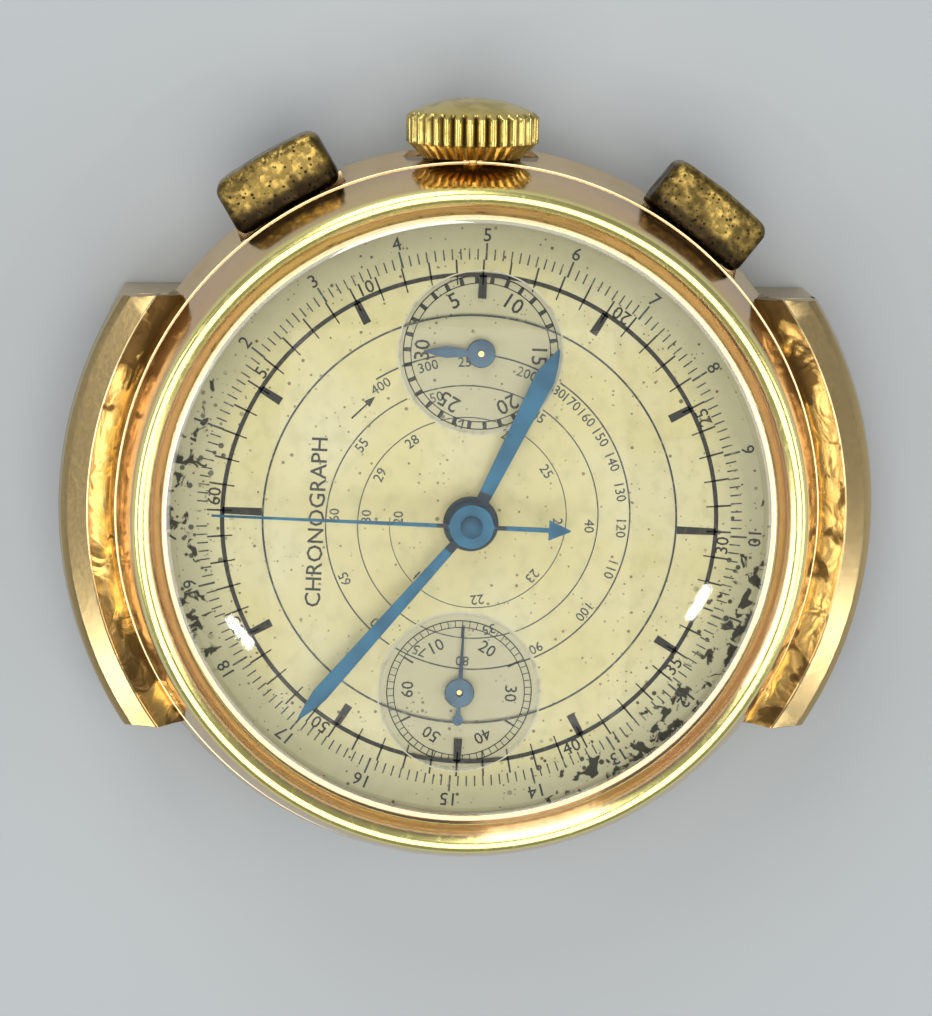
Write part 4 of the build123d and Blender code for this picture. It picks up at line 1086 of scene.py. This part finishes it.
@dataclass
class Dial:
    """The dial's paint and everything printed on it."""

    radius: float = 15.68
    turn: float = -2.3
    register_r: float = 4.15
    print_thick: float = 0.012
    minute_r: float = 12.54
    chapter_r: float = 10.50
    telemeter_in: float = 13.30
    telemeter_step: float = 18.09
    snail_start_r: float = 8.92
    snail_fall: float = 0.0270
    snail_first: int = 9
    snail_last: int = 180
    minute_figure_r: float = 12.96
    minute_figure_shift: float = 3.1
    figure_height: float = 0.66
    telemeter_figure_r: float = 14.52
    speed_drop: float = 0.44
    speed_height: float = 0.50
    arrow_r: float = 7.95
    arrow_angle: float = 44.0
    word_at: tuple[float, float] = (-0.1, 7.75)
    word_height: float = 0.80
    seconds: Register = Register("seconds", -8.8894, 0.4348, 3.35, 3.70, 60,
                                 (60, 10, 20, 30, 40, 50), 2.62, 0.62, 0.045)
    counter: Register = Register("counter", 8.5890, -0.4351, 3.52, 3.90, 30,
                                 (30, 5, 10, 15, 20, 25), 2.92, 0.78, 0.22)
    speeds: Sequence[int] = (400, 300, 250, 200, 180, 170, 160, 150, 140, 130, 120, 110, 100, 90, 80,
                             75, 70, 65, 60, 55, 50, 45, 40, 35, 30, 29, 28, 27, 26, 25, 24, 23, 22, 21, 20)

    def __post_init__(self) -> None:
        """Reads the dial's heights from the frame."""
        self.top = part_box("dial")[1].z / MM
        self.floor = self.top - 0.12

    def clock(self, angle: float) -> float:
        """Direction in degrees of an angle clockwise from 12."""
        return 90 + self.turn - angle

    def height_at(self, x: float, y: float) -> float:
        """The paint's height under a point."""
        sunk = any(math.hypot(x - s.x, y - s.y) < self.register_r for s in (self.seconds, self.counter))
        return self.floor if sunk else self.top

    def line_ring(self, name: str, radius: float, width: float, height: float) -> bpy.types.Object:
        """A printed circle."""
        low, high = height - 0.004, height + self.print_thick
        near, far = radius - width / 2, radius + width / 2
        return turned(name, ((near, low), (near, high), (far, high), (far, low)), 180)

    def mark(self, name: str, start: float, end: float, width: float, height: float,
             taper: float = 0.86) -> bpy.types.Object:
        """A printed line along X between two radii, a little narrower at its outer end."""
        piece = block(name, (start, -width / 2, height - 0.004), (end, width / 2, height + self.print_thick))
        pick(piece, lambda p: p.x > (start + end) / 2 * MM)
        bpy.ops.transform.resize(value=(1, taper, 1), center_override=(end * MM, 0, height * MM))
        bpy.ops.object.mode_set(mode="OBJECT")
        return piece

    def marks(self, template: bpy.types.Object, angles: Iterable[float]) -> list[bpy.types.Object]:
        """Copies of a mark at angles clockwise from 12, in place of the mark."""
        made = [copied(template, self.clock(a)) for a in angles]
        bpy.data.objects.remove(template)
        return made

    def lettering(self, text: str, height: float, at: tuple[float, float], turn: float,
                  level: float | None = None) -> bpy.types.Object:
        """Printed figures as a mesh.

        Args:
            text: The figures.
            height: Their height in millimetres.
            at: Their middle.
            turn: Their turn in degrees.
            level: The paint's height, where it isn't the height at their middle.

        Returns:
            The mesh.
        """
        nothing_selected()
        bpy.ops.object.text_add(location=(0, 0, 0))
        words = bpy.context.object
        words.data.body = text
        words.data.align_x = "CENTER"
        words.data.align_y = "CENTER"
        words.data.size = height / 0.70 * MM
        words.data.extrude = self.print_thick / 2 * MM
        words.data.offset = height * 0.010 * MM
        words.data.resolution_u = 2
        bpy.ops.object.convert(target="MESH")
        piece = named(f"figures {text}")
        base = self.height_at(*at) if level is None else level
        return moved(piece, turn, (at[0], at[1], base + self.print_thick / 2))

    def around(self, text: str, height: float, radius: float, angle: float, reading: Reading,
               centre: tuple[float, float] = (0, 0), level: float | None = None) -> bpy.types.Object:
        """Figures on a circle, with their tops outward or inward."""
        way = self.clock(angle)
        turn = math.radians(way)
        at = (centre[0] + radius * math.cos(turn), centre[1] + radius * math.sin(turn))
        return self.lettering(text, height, at, way + reading.value, level)

    def minute_track(self) -> None:
        """Prints the minute ring, its strokes, blocks and bars."""
        fives = [a for a in range(0, 360, 30) if a not in (0, 180)]
        parts = [self.line_ring("minute ring", self.minute_r, 0.22, self.top)]
        parts += self.marks(self.mark("minute", self.minute_r, 13.32, 0.100, self.top), range(0, 360, 6))
        inner = self.mark("inner minute", 12.05, self.minute_r, 0.070, self.top)
        parts += self.marks(inner, range(0, 360, 6))
        parts += self.marks(self.mark("five", 11.35, self.minute_r, 0.42, self.top), fives)
        parts += self.marks(self.mark("bar", 10.55, self.minute_r, 0.40, self.top), (0, 180))
        fitted(joined("minute_track", parts), BLACK_INK, "case")
        fitted(self.line_ring("chapter_line", self.chapter_r, 0.10, self.top), FINE_INK, "case")

    def minute_figures(self) -> None:
        """Prints the minute figures, leaving out those under the registers."""
        parts = []
        for minute in (5, 10, 20, 25, 30, 35, 40, 50, 55, 60):
            reading = Reading.INWARD if 16 < minute < 44 else Reading.OUTWARD
            angle = minute * 6 + self.minute_figure_shift
            parts.append(self.around(str(minute), self.figure_height, self.minute_figure_r, angle, reading))
        fitted(joined("minute_figures", parts), BLACK_INK, "case")

    def telemeter(self) -> None:
        """Prints the telemeter's strokes and figures by the dial's edge."""
        tenth = self.telemeter_step / 10
        steps = [i for i in range(1, 199) if i * tenth < 358]
        short = self.mark("tenth", self.telemeter_in, 13.85, 0.075, self.top)
        tall = self.mark("whole", self.telemeter_in, 14.15, 0.110, self.top)
        parts = self.marks(short, [i * tenth for i in steps if i % 10])
        parts += self.marks(tall, [i * tenth for i in steps if i % 10 == 0])
        fitted(joined("telemeter_track", parts), FINE_INK, "case")
        figures = [self.around(str(n), self.figure_height, self.telemeter_figure_r,
                               n * self.telemeter_step, Reading.OUTWARD) for n in range(1, 20)]
        fitted(joined("telemeter_figures", figures), BLACK_INK, "case")

    def snail_r(self, second: float) -> float:
        """Radius of the snail line at a second."""
        return self.snail_start_r - self.snail_fall * second

    def snail(self) -> None:
        """Draws the tachymeter's snail line by extruding its end round the centre."""
        step, width = 2.0, 0.085
        start_r = self.snail_r(self.snail_first)
        line = block("snail_line", (start_r - width / 2, -0.01, self.top - 0.004),
                     (start_r + width / 2, 0.01, self.top + self.print_thick))
        pick(line, lambda p: p.y < 0)
        seconds = [self.snail_first + step / 6 * (i + 1)
                   for i in range(int((self.snail_last - self.snail_first) * 6 / step))]
        last_r = start_r
        for second in seconds:
            shrink = self.snail_r(second) / last_r
            last_r = self.snail_r(second)
            bpy.ops.mesh.extrude_region_move(TRANSFORM_OT_translate={"value": (0, 0, 0)})
            bpy.ops.transform.rotate(value=math.radians(step), orient_axis="Z", center_override=(0, 0, 0))
            bpy.ops.transform.resize(value=(shrink, shrink, 1), center_override=(0, 0, 0))
        bpy.ops.object.mode_set(mode="OBJECT")
        moved(line, self.clock(self.snail_first * 6), (0, 0, 0))
        pick(line, lambda p: self.height_at(p.x / MM, p.y / MM) < self.top)
        bpy.ops.transform.translate(value=(0, 0, (self.floor - self.top) * MM))
        bpy.ops.object.mode_set(mode="OBJECT")
        fitted(line, FINE_INK, "case")

    def tachymeter_figures(self) -> None:
        """Prints the speeds just inside the snail line, an arrow and a plain word."""
        parts = []
        for speed in self.speeds:
            second = 3600 / speed
            if second <= self.snail_last + 1:
                radius = self.snail_r(second) - self.speed_drop
                parts.append(self.around(str(speed), self.speed_height, radius, second * 6, Reading.OUTWARD))
        fitted(joined("tachymeter_figures", parts), FINE_INK, "case")
        shaft = self.mark("scale_arrow", -0.75, 0.35, 0.09, self.top)
        head = self.mark("head", 0.30, 0.85, 0.42, self.top, 0.05)
        arrow = joined("scale_arrow", (shaft, head))
        way = self.clock(self.arrow_angle)
        turn = math.radians(way)
        place = [self.arrow_r * math.cos(turn), self.arrow_r * math.sin(turn), 0]
        moved(arrow, way - 90, place)
        fitted(arrow, BLACK_INK, "case")
        word = self.lettering("CHRONOGRAPH", self.word_height, self.word_at, self.turn)
        word.name = "dial_word"
        fitted(word, BLACK_INK, "case")

    def register(self, scale: Register) -> None:
        """Rims one register and prints its track and figures.

        Args:
            scale: The register.
        """
        level, edge = self.floor, self.register_r
        rim = turned(f"{scale.name}_rim", (
            (edge - 0.16, level - 0.01), (edge - 0.16, level + 0.015), (edge - 0.02, self.top + 0.012),
            (edge + 0.05, self.top + 0.014), (edge + 0.07, self.top - 0.01)), 128)
        moved(smoothed(rim), 0, (scale.x, scale.y, 0))
        fitted(rim, RIM_PAINT, "case")
        parts = [self.line_ring("outer", scale.track_out, 0.06, level),
                 self.line_ring("inner", scale.track_in, 0.05, level)]
        whole = 360 / scale.divisions
        tick = self.mark("tick", scale.track_in, scale.track_out, scale.tick_width, level)
        parts += self.marks(tick, [i * whole for i in range(scale.divisions)])
        if scale.divisions == 60:
            tall = self.mark("five", scale.track_in - 0.55, scale.track_in, 0.11, level)
            parts += self.marks(tall, [30 + 60 * i for i in range(6)])
        track = moved(joined(f"{scale.name}_track", parts), 0, (scale.x, scale.y, 0))
        fitted(track, BLACK_INK, "case")
        figures = [self.around(str(n), scale.figure_height, scale.figure_r, 60 * i, Reading.OUTWARD,
                               (scale.x, scale.y), level) for i, n in enumerate(scale.figures)]
        fitted(joined(f"{scale.name}_figures", figures), BLACK_INK, "case")

    def build(self) -> None:
        """Prints the whole dial."""
        self.minute_track()
        self.minute_figures()
        self.telemeter()
        self.snail()
        self.tachymeter_figures()
        for scale in (self.seconds, self.counter):
            self.register(scale)


# ---- hands ----
@dataclass
class Hand:
    """A leaf hand: a ridged blade that swells to a wide point, on a round hub."""

    name: str
    node: str
    body: str
    finish: Finish
    reach: float
    wide_at: float
    root: float
    wide: float
    thick: float
    hub: float
    bore: float
    level: float
    direction: float
    centre: tuple[float, float] = (0.0, 0.0)
    tail: float = 0.0
    tail_r: float = 0.0

    def blade(self) -> bpy.types.Object:
        """Extrudes a six-sided section along the blade and draws it to its point."""
        stations = ((self.hub * 0.6, self.root), (self.wide_at * 0.55, (self.root + self.wide) / 2),
                    (self.wide_at, self.wide), ((self.wide_at + self.reach) / 2, self.wide * 0.62),
                    (self.reach - 0.06, 0.05))
        middle = self.level + self.thick / 2
        nothing_selected()
        bpy.ops.mesh.primitive_circle_add(
            vertices=6, radius=self.root * MM, fill_type="NGON", rotation=(0, math.pi / 2, 0),
            location=(stations[0][0] * MM, 0, middle * MM))
        blade = named(self.name)
        bpy.ops.object.mode_set(mode="EDIT")
        bpy.ops.mesh.select_all(action="SELECT")
        bpy.ops.transform.rotate(value=math.pi / 2, orient_axis="X",
                                 center_override=(stations[0][0] * MM, 0, middle * MM))
        flat = self.thick / (2 * self.root * math.sin(math.pi / 3))
        bpy.ops.transform.resize(value=(1, 1, flat), center_override=(stations[0][0] * MM, 0, middle * MM))
        for (x0, half0), (x1, half1) in zip(stations, stations[1:]):
            bpy.ops.mesh.extrude_region_move(TRANSFORM_OT_translate={"value": ((x1 - x0) * MM, 0, 0)})
            bpy.ops.transform.resize(value=(1, half1 / half0, 1), center_override=(x1 * MM, 0, middle * MM))
        bpy.ops.object.mode_set(mode="OBJECT")
        return settle(close_up(blade))

    def hub_ring(self) -> bpy.types.Object:
        """Turns the hub round its bore."""
        low, high = self.level, self.level + self.thick
        soft = 0.03
        return turned(f"{self.name} hub", (
            (self.bore, low), (self.hub, low), (self.hub, high - soft), (self.hub - soft, high),
            (self.bore, high)), 64)

    def build(self) -> None:
        """Builds the hand, turns it to its time and dresses it."""
        parts = [self.hub_ring()]
        if self.tail:
            stalk = block("stalk", (self.tail, -0.10, self.level + 0.01),
                          (-self.hub * 0.7, 0.10, self.level + self.thick - 0.01))
            nothing_selected()
            bpy.ops.mesh.primitive_cylinder_add(
                vertices=40, radius=self.tail_r * MM, depth=self.thick * MM,
                location=(self.tail * MM, 0, (self.level + self.thick / 2) * MM))
            parts += [stalk, named("counterweight")]
        hand = cut(self.blade(), *parts, way="UNION")
        smoothed(hand, 25)
        moved(hand, self.direction, (*self.centre, 0))
        fitted(hand, self.finish, self.body, [self.node])


@dataclass
class ChronographHand:
    """The centre seconds hand: needle, arrow tail, wide hub and polished cap."""

    reach: float = 13.05
    tail: float = -4.10
    level: float = 10.02
    thick: float = 0.12
    hub: float = 1.15
    cap: float = 0.55
    cap_top: float = 10.55
    direction: float = 90 - 2.3

    def needle(self) -> bpy.types.Object:
        """Draws the needle from its arrow tail to its tip."""
        low, high = self.level, self.level + self.thick
        needle = block("sweep_hand", (self.tail, -0.12, low), (self.reach, 0.12, high))
        pick(needle, lambda p: p.x > 0)
        bpy.ops.transform.resize(value=(1, 0.42, 1), center_override=(0, 0, 0))
        bpy.ops.object.mode_set(mode="OBJECT")
        arrow = block("arrow", (-5.00, -0.52, low), (-3.90, 0.52, high))
        pick(arrow, lambda p: p.x < -4.5 * MM)
        bpy.ops.transform.resize(value=(1, 0.06, 1), center_override=(0, 0, 0))
        bpy.ops.object.mode_set(mode="OBJECT")
        return cut(needle, arrow, way="UNION")

    def build(self) -> None:
        """Builds the hand with its hub and cap, and dresses it."""
        low, high = self.level, self.level + self.thick
        hub = turned("hub", ((0.05, low), (self.hub, low), (self.hub, high - 0.04), (self.hub - 0.04, high),
                             (0.05, high)), 72, hollow=False)
        rim = (self.cap, self.cap_top - 0.10)
        over = dome(rim, self.cap_top, 5, 0.02)
        cap = turned("cap", ((0.05, low + 0.02), (self.cap, low + 0.02), rim, *over), 48, hollow=False)
        hand = cut(self.needle(), hub, cap, way="UNION")
        moved(smoothed(hand, 30), self.direction, (0, 0, 0))
        fitted(hand, HAND_BLUE, "chronograph_wheel", ["chronograph_hand"])


@dataclass
class Hands:
    """The five hands."""

    dial: Dial

    def build(self) -> None:
        """Builds every hand."""
        seconds = (self.dial.seconds.x, self.dial.seconds.y)
        counter = (self.dial.counter.x, self.dial.counter.y)
        hands = (
            Hand("hour_leaf", "hour_hand", "hour_wheel", HAND_BLUE, 9.95, 8.30, 0.36, 0.60, 0.14,
                 1.40, 1.00, 9.15, 90 - 116.0),
            Hand("minute_leaf", "minute_hand", "cannon_pinion", HAND_BLUE, 13.30, 11.60, 0.26, 0.46, 0.14,
                 1.15, 0.70, 9.58, 90 - 310.8),
            Hand("small_seconds_leaf", "small_seconds_hand", "fourth_wheel", SMALL_BLUE, 3.60, 0.90, 0.20,
                 0.13, 0.10, 0.75, 0.18, 8.62, 90 - 93.0, seconds, -1.42, 0.28),
            Hand("counter_leaf", "minute_counter_hand", "minute_recorder", SMALL_BLUE, 2.90, 1.75, 0.14,
                 0.34, 0.10, 0.72, 0.18, 8.62, 90 - 2.3, counter))
        for hand in hands:
            hand.build()
        ChronographHand().build()


# ---- movement and the parts that keep their own shape ----
@dataclass
class Movement:
    """Finishes of the frame's own nodes that no new piece stands for."""

    finishes: dict[str, Finish] = field(default_factory=lambda: {
        "cream_dial": DialPaint("dial paint", 8.28),
        "aged_brass": TUBE_FINISH,
        "nickel_plate": NICKEL,
        "gilt_brass": GILT,
        "steel_parts": STEEL,
        "spring_steel": SPRING,
        "blued_screws": SCREW_BLUE,
        "blued_steel": HAND_BLUE,
        "gold_case": BAND_FINISH,
        "gold_crown": BAND_FINISH,
        "crystal": CRYSTAL_FINISH,
        "ruby": RUBY,
    })

    def build(self) -> None:
        """Dresses each node by its material slot in the record."""
        for name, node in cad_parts.items():
            for slot in node.material_slots:
                kind = slot.material.name.split(".")[0]
                slot.link = "OBJECT"
                slot.material = self.finishes[kind].material()
                log.info("%s is finished as %s", name, kind)


# ---- studio ----
@dataclass
class Studio:
    """Table, soft lamps and the camera."""

    eye: tuple[float, float, float] = (31.82, 9.33, 184.30)
    aim: tuple[float, float, float] = (0.67, 0.21, 8.40)
    head_up: tuple[float, float, float] = (0.9846, 0.0045, -0.1746)
    lens: float = 125.10
    sensor: float = 36.0

    def table(self) -> None:
        """Lays the table under the watch."""
        nothing_selected()
        bpy.ops.mesh.primitive_plane_add(size=3.0, location=(0, 0, 0))
        table = named("table_top")
        table.data.materials.append(TABLE.material())

    def lamp(self, name: str, at: tuple[float, float, float], size: tuple[float, float], watts: float,
             tint: tuple[float, float, float] = (1, 1, 1)) -> None:
        """Hangs a soft rectangular lamp that faces the dial.

        Args:
            name: Its name.
            at: Its place in metres.
            size: Its sides in metres.
            watts: Its power.
            tint: Its colour.
        """
        light = bpy.data.lights.new(name, "AREA")
        light.shape = "RECTANGLE"
        light.size, light.size_y = size
        light.energy = watts
        light.color = tint
        holder = bpy.data.objects.new(name, light)
        holder.location = at
        holder.rotation_mode = "QUATERNION"
        holder.rotation_quaternion = (Vector((0, 0, 0.009)) - Vector(at)).to_track_quat("-Z", "Y")
        bpy.context.scene.collection.objects.link(holder)

    def camera(self) -> None:
        """Places the camera."""
        data = bpy.data.cameras.new("eye")
        data.lens = self.lens
        data.sensor_width = self.sensor
        data.clip_start = 0.01
        holder = bpy.data.objects.new("eye", data)
        eye, aim = Vector(self.eye) * MM, Vector(self.aim) * MM
        back = (eye - aim).normalized()
        right = Vector(self.head_up).cross(back).normalized()
        up = back.cross(right)
        holder.matrix_world = Matrix.Translation(eye) @ Matrix((right, up, back)).transposed().to_4x4()
        bpy.context.scene.collection.objects.link(holder)
        bpy.context.scene.camera = holder

    def build(self) -> None:
        """Sets up the table, the lamps, the sky and the camera."""
        self.table()
        self.lamp("overhead", (-0.10, 0.0, 0.55), (0.50, 0.60), 2.4, (1.0, 0.98, 0.92))
        self.lamp("window", (0.50, 0.12, 0.28), (0.26, 0.50), 1.5, (1.0, 0.98, 0.95))
        self.lamp("side twelve", (0.02, 0.50, 0.26), (0.40, 0.22), 0.9, (0.96, 0.98, 1.0))
        self.lamp("side six", (-0.05, -0.50, 0.24), (0.40, 0.22), 0.9, (1.0, 0.98, 0.95))
        self.lamp("strip twelve", (-0.172, 0.196, 0.335), (0.036, 0.010), 0.07)
        self.lamp("strip six", (-0.140, -0.232, 0.325), (0.036, 0.010), 0.07)
        world = bpy.data.worlds.new("sky")
        world.use_nodes = True
        sky = world.node_tree.nodes["Background"]
        sky.inputs["Color"].default_value = (0.74, 0.78, 0.82, 1)
        sky.inputs["Strength"].default_value = 0.30
        bpy.context.scene.world = world
        bpy.context.scene.view_settings.view_transform = "Standard"
        self.camera()


def main() -> None:
    """Builds everything in order."""
    Studio().build()
    Movement().build()
    Case().build()
    Crown().build()
    for pusher in PUSHERS:
        pusher.build()
    dial = Dial()
    dial.build()
    Hands(dial).build()


if __name__ == "__main__":
    main()
